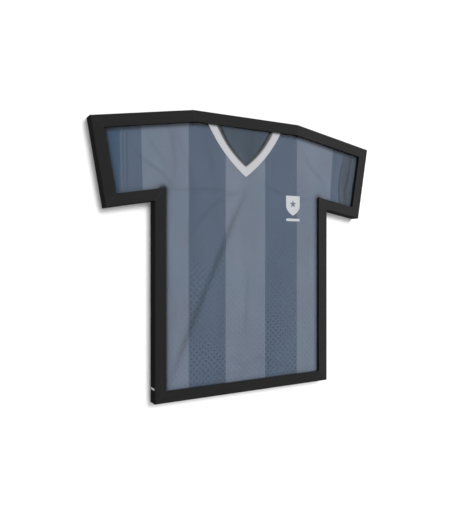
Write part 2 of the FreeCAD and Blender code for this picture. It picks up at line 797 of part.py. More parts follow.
def make_jersey():
    """Cloth folded around the board: front, edges and a margin folded over the board's back."""
    jersey_shape = inset_outline("JerseyShape", JERSEY_INSET)
    pocket_shape = inset_outline("PocketShape", JERSEY_INSET + " + Sizes.cloth_thickness")
    opening_shape = inset_outline("OpeningShape", JERSEY_INSET + " + Sizes.fold_width")
    blank = flat_layer("JerseyBlank", jersey_shape, "Sizes.jersey_front", "Sizes.fold_back")
    board_pocket = flat_layer("BoardPocket", pocket_shape, BOARD_FRONT, BOARD_BACK)
    fold_opening = flat_layer("FoldOpening", opening_shape, BOARD_BACK,
                              "Sizes.fold_back + Sizes.cloth_thickness")
    neck_shape = bowed_v("NeckShape", "Sizes.neck_half", JERSEY_TOP, "Sizes.neck_tip", "Sizes.neck_radius")
    notch = flat_layer("NeckNotch", neck_shape, "Sizes.jersey_front - Sizes.cloth_thickness", BOARD_FRONT)
    wrapped = cut("WrappedCloth", blank, board_pocket)
    folded = cut("FoldedCloth", wrapped, fold_opening)
    finish_sheet(cut("jersey_body", folded, notch), "jersey_body")


def make_neck():
    """Ribbed collar on the cloth, its inner trim, and the far side of the jersey seen in the neck."""
    collar_shape = bowed_v("CollarShape", "Sizes.collar_half", JERSEY_TOP, "Sizes.collar_tip",
                           "Sizes.collar_radius")
    trim_shape = bowed_v("TrimShape", "Sizes.trim_half", JERSEY_TOP, "Sizes.trim_tip",
                         "Sizes.trim_radius")
    neck_shape = bowed_v("NeckEdge", "Sizes.neck_half", JERSEY_TOP, "Sizes.neck_tip",
                         "Sizes.neck_radius")
    inner_shape = bowed_v("NeckLining", "Sizes.neck_half - Sizes.neck_clearance", JERSEY_TOP,
                          "Sizes.neck_tip + Sizes.neck_clearance * 2", "Sizes.neck_radius")
    collar_front = "Sizes.jersey_front - Sizes.collar_thickness"
    trim_front = "Sizes.jersey_front - Sizes.trim_thickness"
    beyond = "Sizes.jersey_front - Sizes.cloth_thickness"
    collar_blank = flat_layer("CollarBlank", collar_shape, collar_front, "Sizes.jersey_front")
    collar_opening = flat_layer("CollarOpening", trim_shape, beyond, BOARD_FRONT)
    finish_sheet(cut("jersey_collar", collar_blank, collar_opening), "jersey_collar")
    trim_blank = flat_layer("TrimBlank", trim_shape, trim_front, "Sizes.jersey_front")
    trim_opening = flat_layer("TrimOpening", neck_shape, beyond, BOARD_FRONT)
    finish_sheet(cut("jersey_neck_trim", trim_blank, trim_opening), "jersey_neck_trim")
    upright_sheet("jersey_back_neck", inner_shape, BOARD_FRONT + " - Sizes.neck_thickness", BOARD_FRONT)


def make_emblem():
    """Plain shield and bar on the chest."""
    half = "Sizes.emblem_width / 2"
    front = "Sizes.jersey_front - Sizes.emblem_thickness"
    shield = doc.addObject("Sketcher::SketchObject", "ShieldShape")
    shoulder = "Sizes.emblem_top - Sizes.emblem_side"
    left = "Sizes.emblem_across - %s" % half
    right = "Sizes.emblem_across + %s" % half
    polygon(shield, [
        (left, "Sizes.emblem_top"),
        (left, shoulder),
        ("Sizes.emblem_across", "Sizes.emblem_top - Sizes.emblem_height"),
        (right, shoulder),
        (right, "Sizes.emblem_top"),
    ])
    upright_sheet("chest_emblem", shield, front, "Sizes.jersey_front")
    bar = doc.addObject("Sketcher::SketchObject", "BarShape")
    rectangle(bar, left, "Sizes.bar_top - Sizes.bar_height", right, "Sizes.bar_top")
    upright_sheet("chest_bar", bar, front, "Sizes.jersey_front")


def make_side_plate():
    plate = doc.addObject("Part::Box", "side_plate")
    plate.setExpression("Length", "Sizes.plate_thickness")
    plate.setExpression("Width", "Sizes.plate_length")
    plate.setExpression("Height", "Sizes.plate_height")
    plate.Placement = place(-size("half_body") - size("plate_thickness"), size("plate_setback"),
                            size("plate_above_bottom"), NO_TURN)
    keep(plate, "side_plate")


# ---------------------------------------------------------------- build, check and write

def check_document():
    failed = [item.Name for item in doc.Objects
              if "Invalid" in item.State or "Error" in item.State]
    if failed:
        raise RuntimeError("failed objects: " + ", ".join(failed))
    for node in nodes:
        if node.Shape.isNull() or not node.Shape.isValid() or not node.Shape.Solids:
            raise RuntimeError("%s has no valid solid" % node.Label)
    labels = [node.Label for node in nodes]
    if len(set(labels)) != len(labels):
        raise RuntimeError("two nodes share a name")


def write_parts():
    os.makedirs("parts", exist_ok=True)
    for node in nodes:
        node.Shape.exportStep("parts/%s.step" % node.Label)
        box = node.Shape.BoundBox
        print("%-32s %2d solids, %.1f cm3, %.1f x %.1f x %.1f" % (
            node.Label, len(node.Shape.Solids), node.Shape.Volume / 1000,
            box.XLength, box.YLength, box.ZLength))


def main():
    rails = make_rails()
    make_hangers(rails)
    for rail in rails.values():
        rail.finish()
    make_v_nails()
    make_turn_buttons(rails)
    make_stack()
    make_jersey()
    make_neck()
    make_emblem()
    make_side_plate()
    doc.recompute()
    check_document()
    write_parts()
    print(len(nodes), "nodes")


main()
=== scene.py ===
"""Looks of the jersey display frame: black moulding, clear window, striped jersey."""
import json
import math

import bmesh
import bpy
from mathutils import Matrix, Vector, geometry, noise


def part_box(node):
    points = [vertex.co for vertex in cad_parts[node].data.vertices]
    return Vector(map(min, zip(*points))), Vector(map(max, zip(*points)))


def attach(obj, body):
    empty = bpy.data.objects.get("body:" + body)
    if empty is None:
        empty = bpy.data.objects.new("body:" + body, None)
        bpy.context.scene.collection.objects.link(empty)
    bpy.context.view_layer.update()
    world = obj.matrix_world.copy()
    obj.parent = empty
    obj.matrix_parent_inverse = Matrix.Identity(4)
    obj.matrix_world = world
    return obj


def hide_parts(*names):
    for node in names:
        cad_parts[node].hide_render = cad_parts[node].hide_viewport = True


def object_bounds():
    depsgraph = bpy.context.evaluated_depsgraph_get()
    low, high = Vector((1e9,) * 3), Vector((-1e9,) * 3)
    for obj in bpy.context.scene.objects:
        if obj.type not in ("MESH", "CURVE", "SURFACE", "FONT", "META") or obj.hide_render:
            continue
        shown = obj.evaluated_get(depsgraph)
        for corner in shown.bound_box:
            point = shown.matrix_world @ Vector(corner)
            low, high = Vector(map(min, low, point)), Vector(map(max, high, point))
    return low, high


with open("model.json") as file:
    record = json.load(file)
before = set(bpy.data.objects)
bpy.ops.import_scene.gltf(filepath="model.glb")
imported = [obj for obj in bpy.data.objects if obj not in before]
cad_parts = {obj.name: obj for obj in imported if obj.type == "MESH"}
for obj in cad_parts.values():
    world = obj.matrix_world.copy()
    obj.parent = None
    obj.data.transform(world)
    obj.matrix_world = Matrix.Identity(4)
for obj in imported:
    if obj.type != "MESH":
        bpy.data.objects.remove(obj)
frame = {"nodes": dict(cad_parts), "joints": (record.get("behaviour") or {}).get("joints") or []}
cad_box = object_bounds()
nodes = frame["nodes"]

BODY = "frame"
MM = 0.001
LOW, HIGH = cad_box
FRONT = LOW[1]
BOTTOM = LOW[2]

# Levels behind the front face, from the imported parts.
WINDOW_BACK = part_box("front_window")[1].y
BOARD_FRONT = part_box("insert_board")[0].y
BOARD_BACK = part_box("insert_board")[1].y

# The jersey. Places on it are across from the centre line and up from the frame's bottom edge.
CLOTH = 0.5 * MM
CLOTH_LEVEL = 1.35 * MM  # usual gap between the window and the cloth
CLOTH_GAP = 0.25 * MM
BOARD_GAP = 0.05 * MM  # least gap between the cloth and the board
GRID = 3.2 * MM
FINE_GRID = 1.7 * MM  # on the sleeves, for the hems
FINE_FROM = 280 * MM  # where the sleeves' finer grid starts
FOLD_MARGIN = 44 * MM  # turned in behind the board
STRIPE_CENTRE = -4 * MM  # the jersey lies a little off the frame's centre
SLEEVE_CENTRE_HEIGHT = 545 * MM
# Slant of the sleeves' grain by side: -1 is the wearer's right sleeve, at the left of the view.
SLEEVE_TILT = {-1: 0.026, 1: 0.075}
HEM_STEP = 0.35 * MM  # the hem's lower layer lies this much deeper
NECK_SHIFT = -4.5 * MM
# How far the V's sides stand off straight lines.
COLLAR_BOW = 10 * MM
TRIM_BOW = 8.5 * MM
NECK_BOW = 8 * MM

# Where each sleeve's hem starts: mm across and mm up.
HEMS = {
    -1: ((-331, 665), (-329, 560), (-327, 470)),
    1: ((329, 665), (314, 608), (305, 579), (299, 551), (296, 522), (298, 490), (302, 460)),
}


# ---- small helpers

def up(height):
    """Height above the frame's bottom edge, as a place in the row frame."""
    return BOTTOM + height


def smooth(value, low, high):
    """0 below low, 1 above high, smooth between."""
    share = min(1.0, max(0.0, (value - low) / (high - low)))
    return share * share * (3 - 2 * share)


def new_object(name, mesh, material=None):
    piece = bpy.data.objects.new(name, mesh)
    bpy.context.scene.collection.objects.link(piece)
    if material is not None:
        mesh.materials.append(material)
    return piece


def mesh_object(name, points, faces, material=None):
    mesh = bpy.data.meshes.new(name)
    mesh.from_pydata([tuple(point) for point in points], [], faces)
    mesh.validate()
    mesh.update()
    for face in mesh.polygons:
        face.use_smooth = True
    return new_object(name, mesh, material)


def add_piece(piece, replaced=()):
    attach(piece, BODY)
    if replaced:
        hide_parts(*replaced)
    return piece


def object_from(bm, name, material):
    bmesh.ops.recalc_face_normals(bm, faces=bm.faces)
    mesh = bpy.data.meshes.new(name)
    bm.to_mesh(mesh)
    bm.free()
    return new_object(name, mesh, material)


def thicken(piece, thickness, offset):
    thick = piece.modifiers.new("thickness", "SOLIDIFY")
    thick.thickness = thickness
    thick.offset = offset


def triangulate(outline, points):
    """Places and triangles that fill an outline through the points inside it."""
    count = len(outline)
    edges = [(index, (index + 1) % count) for index in range(count)]
    made = geometry.delaunay_2d_cdt(outline + points, edges, [], 1, 1e-7)
    return made[0], [tuple(face) for face in made[2]]


def inset_corners(corners, inset):
    """Corners of a clockwise polygon moved inwards, each (across, up)."""
    moved = []
    count = len(corners)
    for index, corner in enumerate(corners):
        before = (corner - corners[index - 1]).normalized()
        after = (corners[(index + 1) % count] - corner).normalized()
        normal = Vector((before.y, -before.x))
        mitre = (normal + Vector((after.y, -after.x))).normalized()
        moved.append(corner + mitre * (inset / mitre.dot(normal)))
    return moved


def window_corners():
    """The ten corners of the window's outline, clockwise as seen from the front."""
    found = {}
    for vertex in nodes["front_window"].data.vertices:
        found[(round(vertex.co.x, 5), round(vertex.co.z, 5))] = vertex.co
    middle_height = up(560 * MM)
    corners = [Vector((point.x, point.z)) for point in found.values()]
    return sorted(corners, key=lambda c: -math.atan2(c.y - middle_height, c.x))


CORNERS = window_corners()


def arc_between(start, end, bow, count):
    """Points on a curve whose middle stands off the straight line by bow, to its right."""
    chord = end - start
    side = Vector((chord.y, -chord.x)).normalized()
    points = []
    for step in range(count + 1):
        share = step / count
        points.append(start + chord * share + side * (4 * bow * share * (1 - share)))
    return points


def neck_sides(node, bow, count, narrower=0.0):
    low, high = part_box(node)
    tip = Vector((NECK_SHIFT, low.z))
    right = arc_between(tip, Vector((high.x + NECK_SHIFT - narrower, high.z)), bow, count)
    left = arc_between(tip, Vector((low.x + NECK_SHIFT + narrower, high.z)), -bow, count)
    return right, left


def neck_outline(node, bow):
    """A V's outline, from its right top round the tip to its left top."""
    right, left = neck_sides(node, bow, 30)
    return right[::-1] + left[1:]


COLLAR_SIDES = neck_sides("jersey_collar", COLLAR_BOW, 20)
EMBLEM_BOXES = [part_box(node) for node in ("chest_emblem", "chest_bar")]


# ---- relief of the cloth

# Creases: mm across and mm up of each point along the crease, half width mm, height mm (negative
# for a valley), and the painted shade along the fold (negative for a painted highlight).
CREASES = (
    ((2, 492, -34, 420, -64, 352, -112, 246, -160, 140, -200, 44), 11.5, 0.95, 1.15),
    ((12, 486, -22, 410, -52, 342, -98, 240, -146, 136, -182, 48), 9.0, -0.45, 0.0),
    ((-2, 500, -70, 476, -128, 420, -158, 372), 9.0, 0.55, 0.4),
    ((-222, 497, -150, 500, -84, 506, -20, 498), 8.0, 0.5, 0.35),
    ((44, 532, 92, 512, 150, 492, 214, 498), 9.0, 0.5, 0.35),
    ((12, 300, 6, 220, 2, 140), 8.0, 0.4, 0.3),
    ((-300, 590, -268, 560, -226, 536, -190, 500), 7.0, 0.55, 0.42),
    ((-262, 636, -246, 596, -214, 560), 9.0, 0.4, 0.25),
    ((-214, 660, -196, 620, -188, 560, -196, 500), 9.0, 0.4, 0.28),
    ((176, 628, 206, 580, 246, 548, 262, 500), 8.0, 0.5, 0.32),
    ((-120, 640, -96, 590, -90, 540), 9.0, 0.35, 0.25),
    ((-196, 640, -150, 560, -140, 470, -160, 380), 11.0, 0.35, 0.25),
    ((112, 620, 88, 580, 84, 530), 9.0, 0.35, 0.25),
    ((-206, 300, -190, 220, -196, 120), 8.0, 0.3, 0.18),
    ((206, 420, 196, 330, 204, 220), 8.0, 0.3, 0.18),
    ((-60, 90, 0, 64, 40, 78, 110, 52), 9.0, -0.5, 0.3),
    ((-150, 60, -60, 44, 40, 52, 140, 46), 8.0, -0.5, 0.22),
    ((334, 680, 318, 608, 309, 579, 303, 551, 300, 522, 302, 490, 306, 440), 2.0, -0.7, 1.1),
    ((342, 680, 327, 609, 318, 578, 311, 548, 307, 520, 310, 480, 314, 440), 3.6, 0.55, -0.6),
    ((366, 690, 348, 610, 343, 581, 336, 552, 326, 523, 330, 485, 334, 440), 6.2, 0.8, 1.35),
    ((376, 660, 364, 606, 357, 560, 349, 520, 351, 470), 4.0, 0.4, -0.4),
    ((296, 650, 292, 600, 286, 552, 283, 500), 5.0, 0.3, 0.35),
    ((-312, 690, -310, 560, -308, 440), 1.9, -0.5, 0.9),
    ((-316, 690, -314, 560, -312, 440), 2.0, 0.4, -0.6),
    ((-320, 690, -318, 560, -316, 440), 1.8, -0.5, 0.8),
    ((-324, 690, -322, 560, -320, 440), 2.0, 0.4, -0.5),
)


def prepared_creases():
    """Each crease in metres, with its segments and the box that it reaches."""
    prepared = []
    for line, width, crest, painted_shading in CREASES:
        xs = [x * MM + STRIPE_CENTRE for x in line[::2]]
        zs = [z * MM for z in line[1::2]]
        points = [Vector(pair) for pair in zip(xs, zs)]
        segments = [(a, b - a, (b - a).length_squared) for a, b in zip(points, points[1:])]
        reach = 4 * width * MM
        box = (min(xs) - reach, max(xs) + reach, min(zs) - reach, max(zs) + reach)
        prepared.append((segments, box, width * MM, crest * MM, painted_shading))
    return prepared


PREPARED = prepared_creases()


def crease_at(spot):
    height = 0.0
    painted_shading = 0.0
    for segments, box, width, crest, dark in PREPARED:
        if not (box[0] < spot.x < box[1] and box[2] < spot.y < box[3]):
            continue
        distance = 1.0
        for index, (start, run, squared) in enumerate(segments):
            share = max(0.0, min(1.0, (spot - start).dot(run) / squared))
            offset = spot - start - run * share
            if offset.length < distance:
                distance = offset.length
                side = run.x * offset.y - run.y * offset.x
                along = (index + share) / len(segments)
        if distance > 4 * width:
            continue
        fade = math.sin(math.pi * min(1.0, max(0.0, 0.04 + along * 0.92))) ** 0.6
        wobble = 1 + 0.25 * noise.noise(Vector((spot.x * 14, spot.y * 14, crest * 900)))
        # Steep on one flank, gentle on the other.
        spread = width * (0.62 if side < 0 else 1.35) * wobble
        bell = math.exp(-(distance / spread) ** 2)
        height += crest * bell * fade
        # Painted shade across a valley, on a ridge's steep flank and faintly on its gentle flank;
        # negative values paint a highlight.
        if crest < 0:
            painted_shading += dark * fade * math.exp(-(distance / width) ** 2)
        elif side < 0:
            painted_shading += dark * fade * math.exp(-((distance - 0.45 * width) / (0.75 * width)) ** 2)
        else:
            painted_shading += dark * fade * 0.35 * math.exp(-(distance / (0.8 * width)) ** 2)
    return height, max(-0.5, min(1.8, painted_shading))


def sleeve_across(across, height):
    """Place across the cloth, with the sleeves' grain tilted as the cuffs are."""
    side = -1 if across < STRIPE_CENTRE else 1
    out = abs(across - STRIPE_CENTRE)
    tilt = SLEEVE_TILT[side] * (height - SLEEVE_CENTRE_HEIGHT) * smooth(out, 0.2, 0.27)
    return side * (out - tilt)


def hem_across(side, height):
    line = HEMS[side]
    for (x, z), (next_x, next_z) in zip(line, line[1:]):
        if height >= next_z * MM:
            share = (height - z * MM) / ((next_z - z) * MM)
            return (x + (next_x - x) * share) * MM
    return line[-1][0] * MM


def past_hem(across, height):
    """How far a place is beyond its sleeve's hem, negative before it."""
    side = -1 if across < STRIPE_CENTRE else 1
    return side * (across - hem_across(side, height))


def flatness(point):
    """0 where the emblem and collar need the cloth flat, 1 well away from them."""
    calm = 1.0
    for low, high in EMBLEM_BOXES:
        across = max(low.x - point.x, 0, point.x - high.x)
        height = max(low.z - point.y, 0, point.y - high.z)
        calm = min(calm, smooth(Vector((across, height)).length, 3 * MM, 22 * MM))
    if point.y < COLLAR_SIDES[0][0].y - 34 * MM:
        return calm
    for side in COLLAR_SIDES:
        away = min((point - corner).length for corner in side)
        calm = min(calm, smooth(away, 14 * MM, 34 * MM))
    return calm


def cloth_relief(across, height):
    """How far the cloth stands out from its usual level, and the painted shade of its creases."""
    spot = Vector((across, height))
    crest, painted_shading = crease_at(spot)
    slow = noise.noise(Vector((across * 9, 3.1, height * 7))) * 0.32 * MM
    medium = noise.noise(Vector((across * 26, 7.7, height * 17))) * 0.16 * MM
    return crest + slow + medium, painted_shading


# Painted shadow of the frame's lip on the cloth, by distance from the cloth's turned edge.
LIP_SHADOW_REACH = 4.5 * MM  # where it starts to fade
LEFT_SHADOW_REACH = 3.5 * MM  # further along sides that face right, as the view is from the left
LIP_SHADOW_FADE = 4.5 * MM
TOP_SHADOW_FADE = (7.5 * MM, 17.5 * MM)
RIGHT_SHADOW_FADE = (8 * MM, 22 * MM)


def outline_sides(corners):
    """A clockwise outline's sides: start, run, squared length and inward direction."""
    sides = []
    for start, end in zip(corners, corners[1:] + corners[:1]):
        run = end - start
        sides.append((start, run, run.length_squared, Vector((run.y, -run.x)).normalized()))
    return sides


def edge_at(point, sides):
    """Distance to an outline's nearest side, and the painted shadow of the frame's lip there."""
    nearest = 1.0
    tone = 1.0
    for start, run, squared, inward in sides:
        share = max(0.0, min(1.0, (point - start).dot(run) / squared))
        away = (point - start - run * share).length
        nearest = min(nearest, away)
        if away < 40 * MM:
            # Painted shadow: deepest along the left and top sides, less on the right, faintest at the
            # bottom.
            reach = LIP_SHADOW_REACH + LEFT_SHADOW_REACH * max(0.0, inward.x)
            depth = 0.12 + max(0.72 * inward.x, -0.36 * inward.x)
            tone *= 1 - depth * math.exp(-max(0.0, away - reach) / LIP_SHADOW_FADE)
            tone *= 1 - 0.6 * max(0.0, -inward.y) * (1 - smooth(away, *TOP_SHADOW_FADE))
            tone *= 1 - 0.22 * max(0.0, -inward.x) * (1 - smooth(away, *RIGHT_SHADOW_FADE))
    return nearest, tone


EDGE_ROLL = 16 * MM  # the cloth falls back towards its turned edge over this width
EDGE_DROP = 0.75 * MM
CREASE_PAINTED_SHADE = 0.3  # painted shade at a crease whose painted shade value is 1


def cloth_level(point, sides):
    """Row-frame y of the cloth's outer face at a place, and its painted shade from creases and the
    frame's lip.
    """
    height = point.y - BOTTOM
    crest, painted_shading = cloth_relief(point.x, height)
    edge, painted_lip_shadow = edge_at(point, sides)
    roll = 1 - smooth(edge, 0, EDGE_ROLL)
    calm = (1 - 0.85 * (1 - smooth(edge, 2 * MM, 12 * MM))) * (0.08 + 0.92 * flatness(point))
    hem = HEM_STEP * smooth(past_hem(point.x, height), 0, 2 * MM)
    level = WINDOW_BACK + CLOTH_LEVEL - crest * calm - hem + EDGE_DROP * roll ** 2
    level = min(BOARD_FRONT - CLOTH - BOARD_GAP, max(WINDOW_BACK + CLOTH_GAP, level))
    tone = (1 - CREASE_PAINTED_SHADE * painted_shading) * painted_lip_shadow
    return level, 1 - tone


# ---- materials

class Nodes:
    """A new material's node tree, or the tree that is given."""

    def __init__(self, name=None, tree=None):
        if tree is None:
            self.material = bpy.data.materials.new(name)
            self.material.use_nodes = True
            tree = self.material.node_tree
            self.shader = tree.nodes["Principled BSDF"]
        self.tree = tree
        self.place = self.node("TexCoord").outputs["Object"]

    def node(self, kind, items=(), **settings):
        """A new node. The items are values or sources of its first inputs."""
        made = self.tree.nodes.new("ShaderNode" + kind)
        for key, value in settings.items():
            setattr(made, key, value)
        for socket, item in zip(made.inputs, items):
            self.value(socket, item)
        return made

    def link(self, source, target):
        self.tree.links.new(source, target)

    def value(self, socket, item):
        if hasattr(item, "is_linked"):
            self.link(item, socket)
        else:
            socket.default_value = item

    def math(self, operation, *items):
        return self.node("Math", items, operation=operation).outputs[0]

    def ramp(self, factor, stops, interpolation="LINEAR"):
        made = self.node("ValToRGB", (factor,))
        made.color_ramp.interpolation = interpolation
        elements = made.color_ramp.elements
        while len(elements) < len(stops):
            elements.new(0.5)
        for element, (place, colour) in zip(elements, stops):
            element.position = place
            element.color = colour
        return made.outputs[0]

    def grey(self, factor, low, high, at_low=0.0, at_high=1.0):
        """Maps low..high of a value to a range of factors."""
        items = (factor, low, high, at_low, at_high)
        return self.node("MapRange", items, interpolation_type="SMOOTHSTEP").outputs[0]

    def noise(self, scale, detail=3.0, roughness=0.55, stretch=None, vector=None):
        if vector is None:
            vector = self.place
        if stretch is not None:
            mapping = self.node("Mapping", (vector,))
            mapping.inputs["Scale"].default_value = stretch
            vector = mapping.outputs[0]
        made = self.node("TexNoise", (vector,))
        made.inputs["Scale"].default_value = scale
        made.inputs["Detail"].default_value = detail
        made.inputs["Roughness"].default_value = roughness
        return made.outputs[0]

    def split(self, vector):
        return self.node("SeparateXYZ", (vector,)).outputs

    def mix(self, factor, first, second, blend="MIX"):
        made = self.node("Mix", (factor,), data_type="RGBA", blend_type=blend)
        self.value(made.inputs[6], first)
        self.value(made.inputs[7], second)
        return made.outputs[2]

    def bump(self, height, distance, strength=1.0, under=None):
        made = self.node("Bump")
        made.inputs["Distance"].default_value = distance
        made.inputs["Strength"].default_value = strength
        self.link(height, made.inputs["Height"])
        if under is not None:
            self.link(under, made.inputs["Normal"])
        return made.outputs[0]

    def set(self, **settings):
        for key, value in settings.items():
            self.value(self.shader.inputs[key.replace("_", " ")], value)

    def show_clear(self, factors, tint=(1, 1, 1, 1)):
        """Let the surface be clear where any of the factors is 1."""
        clear = self.node("BsdfTransparent", (tint,))
        surface = self.shader.outputs[0]
        for factor in factors:
            surface = self.node("MixShader", (factor, surface, clear.outputs[0])).outputs[0]
        self.link(surface, self.tree.nodes["Material Output"].inputs[0])


def varied(tree, colour, factor, spread):
    """The colour, lighter and darker by a factor from 0 to 1."""
    dark = tuple(channel * (1 - spread) for channel in colour[:3]) + (1.0,)
    light = tuple(min(1.0, channel * (1 + spread)) for channel in colour[:3]) + (1.0,)
    return tree.ramp(factor, [(0.25, dark), (0.75, light)])


MITRE_LINE = 0.45 * MM


def mitre_lines(tree, corners):
    """1 on the joint lines at a rail's two ends. Each is (a point on it, its direction)."""
    across, _, height = tree.split(tree.place)
    lines = None
    for point, direction in corners:
        normal = Vector((-direction.y, direction.x))
        part = tree.math("MULTIPLY", across, normal.x)
        part = tree.math("MULTIPLY_ADD", height, normal.y, part)
        away = tree.math("ABSOLUTE", tree.math("SUBTRACT", part, point.dot(normal)))
        line = tree.grey(away, MITRE_LINE * 0.5, MITRE_LINE * 1.5, 1, 0)
        lines = line if lines is None else tree.math("MAXIMUM", lines, line)
    return lines


RAIL_GREY = 0.0082
DUST_GREY = 0.0195
JOINT_GREY = 0.017


def grey_colour(level):
    return (level, level, level, 1.0)


def lacquer_with_painted_light(name, heading, corners, lift):
    """Matte black lacquer over a fine grain, with faint joint lines; lift lightens its colour as painted
    light.
    """
    tree = Nodes(name)
    turned = tree.node("Mapping", (tree.place,), vector_type="TEXTURE")
    turned.inputs["Rotation"].default_value = (0, heading, 0)
    along = turned.outputs[0]
    grain = tree.noise(330, 4, 0.6, (0.05, 1, 1), along)
    cloud = tree.noise(9, 2, 0.5, (0.4, 1, 1), along)
    fine = tree.noise(1500, 2, 0.5, None, along)
    # Painted light: lift makes the lacquer and its dust lighter on rails that look more brightly lit.
    colour = varied(tree, grey_colour(RAIL_GREY * lift), cloud, 0.14)
    dusty = tree.mix(tree.grey(grain, 0.54, 0.78, 0, 0.5), colour, grey_colour(DUST_GREY * lift))
    joined = tree.mix(mitre_lines(tree, corners), dusty, grey_colour(JOINT_GREY))
    tree.set(Base_Color=joined, Roughness=tree.grey(cloud, 0.3, 0.7, 0.46, 0.56), Specular_IOR_Level=0.32,
             Normal=tree.bump(fine, 0.00006, 0.5, tree.bump(grain, 0.00014, 0.7)))
    return tree.material


def zinc(name, colour, roughness):
    tree = Nodes(name)
    spangle = tree.noise(700, 2, 0.6)
    brushed = tree.noise(900, 2, 0.5, (0.06, 1, 1))
    tree.set(Base_Color=varied(tree, colour, spangle, 0.1), Metallic=1.0,
             Roughness=tree.grey(spangle, 0.3, 0.7, roughness - 0.06, roughness + 0.08),
             Normal=tree.bump(brushed, 0.00004, 0.5))
    return tree.material


def hardboard(name, colour, speckle):
    tree = Nodes(name)
    fibres = tree.noise(420, 5, 0.7)
    blotch = tree.noise(14, 3, 0.5)
    base = varied(tree, colour, blotch, 0.14)
    flecked = tree.mix(tree.grey(fibres, 0.52, 0.72, 0, 0.55), base, speckle)
    tree.set(Base_Color=flecked, Roughness=tree.grey(blotch, 0.3, 0.7, 0.55, 0.7),
             Specular_IOR_Level=0.3, Normal=tree.bump(fibres, 0.00015, 0.5))
    return tree.material


def bare_pine(name):
    tree = Nodes(name)
    rings = tree.noise(190, 4, 0.6, (0.08, 1, 1))
    pores = tree.noise(1400, 2, 0.5, (0.1, 1, 1))
    colour = tree.ramp(rings, [(0.3, (0.52, 0.33, 0.16, 1)), (0.55, (0.63, 0.45, 0.25, 1)),
                               (0.75, (0.4, 0.23, 0.1, 1))])
    tree.set(Base_Color=colour, Roughness=0.7, Normal=tree.bump(pores, 0.0001, 0.6))
    return tree.material


def clear_sheet(name):
    """Clear acrylic, drawn as a thin pane that lamps pass straight through."""
    tree = Nodes(name)
    tree.set(Base_Color=(1, 1, 1, 1), Roughness=0.02, IOR=1.25, Transmission_Weight=1.0)
    path = tree.node("LightPath").outputs
    tree.show_clear((path["Is Diffuse Ray"], path["Is Shadow Ray"]), (0.975, 0.98, 0.98, 1))
    return tree.material


# Pitch of the knit's pattern across and along the cloth.
WALE = 1.1 * MM
COURSE = 1.5 * MM


def knit_height(tree, across, along, wale=WALE, course=COURSE):
    wales = tree.math("SINE", tree.math("MULTIPLY", across, 2 * math.pi / wale))
    courses = tree.math("SINE", tree.math("MULTIPLY", along, 2 * math.pi / course))
    return tree.math("MULTIPLY_ADD", tree.math("MULTIPLY", wales, courses), 0.5, 0.5)


def knit_at(tree, wale=WALE, course=COURSE):
    across, _, height = tree.split(tree.place)
    return knit_height(tree, across, height, wale, course)


LIGHT_STRIPE = (0.120, 0.143, 0.188, 1)
DARK_STRIPE = (0.0640, 0.0875, 0.1290, 1)
LEFT_CUFF = (0.036, 0.064, 0.106, 1)
RIGHT_CUFF = (0.044, 0.058, 0.080, 1)
# The stripes' edges out from the centre line, as shares of the span that their ramp covers.
STRIPE_SPAN = 450 * MM
INNER_EDGE = 57.5 / 450
MIDDLE_EDGE = 158 / 450
OUTER_EDGE = 273.5 / 450
# The eyelets' staggered pattern repeats over these lengths.
EYELET_ACROSS = 15.6 * MM
EYELET_UP = 15.0 * MM
EYELET_DARK = 0.42
FAINT_EYELETS = 0.38  # outside the stripe where they are clearest


def cloth_tone_and_painted_shade(tree, eyelets):
    """A factor for the cloth's colour: heather, broad cloudiness, eyelets, and painted shade and
    highlight from the dark attribute.
    """
    heather = tree.noise(900, 3, 0.6, (1, 1, 0.35))
    cloud = tree.noise(7.5, 3, 0.55, (1, 1, 0.6))
    streak = tree.noise(16, 2, 0.5, (1, 1, 0.22))
    tone = tree.math("MULTIPLY", tree.grey(heather, 0.25, 0.75, 0.95, 1.05),
                     tree.grey(cloud, 0.3, 0.7, 0.945, 1.055))
    tone = tree.math("MULTIPLY", tone, tree.grey(streak, 0.3, 0.7, 0.965, 1.035))
    tone = tree.math("MULTIPLY", tone, tree.math("MULTIPLY_ADD", eyelets, -EYELET_DARK, 1.0))
    # Painted shade from creases, the frame's lip and the turned edge; negative values paint a highlight.
    dark = tree.node("Attribute", attribute_name="dark").outputs["Fac"]
    return tree.math("MULTIPLY", tone, tree.math("MULTIPLY_ADD", dark, -1.0, 1.0))


def stripe_colours(tree, across, out):
    bands = tree.ramp(out, [(0, LIGHT_STRIPE), (INNER_EDGE, DARK_STRIPE),
                            (MIDDLE_EDGE, LIGHT_STRIPE), (OUTER_EDGE, DARK_STRIPE)], "CONSTANT")
    cuff = tree.mix(tree.grey(across, -1 * MM, 1 * MM, 1, 0), RIGHT_CUFF, LEFT_CUFF)
    in_cuff = tree.node("Attribute", attribute_name="cuff").outputs["Fac"]
    return tree.mix(in_cuff, bands, cuff)


def eyelet_factor(tree, across, along, out):
    """Patchy eyelets, clearer towards the hem and in the inner dark stripes."""
    eyelets = tree.grey(knit_height(tree, across, along, EYELET_ACROSS, EYELET_UP), 0.64, 0.93)
    patchy = tree.grey(tree.noise(9, 2), 0.36, 0.58, 0.45, 1)
    lower = tree.grey(along, 0.1, 0.56, 1, 0.3)
    eyelets = tree.math("MULTIPLY", eyelets, tree.math("MULTIPLY", patchy, lower))
    faint = grey_colour(FAINT_EYELETS)
    open_knit = tree.ramp(out, [(0, faint), (INNER_EDGE, grey_colour(1.0)), (MIDDLE_EDGE, faint)],
                          "CONSTANT")
    return tree.math("MULTIPLY", eyelets, open_knit)


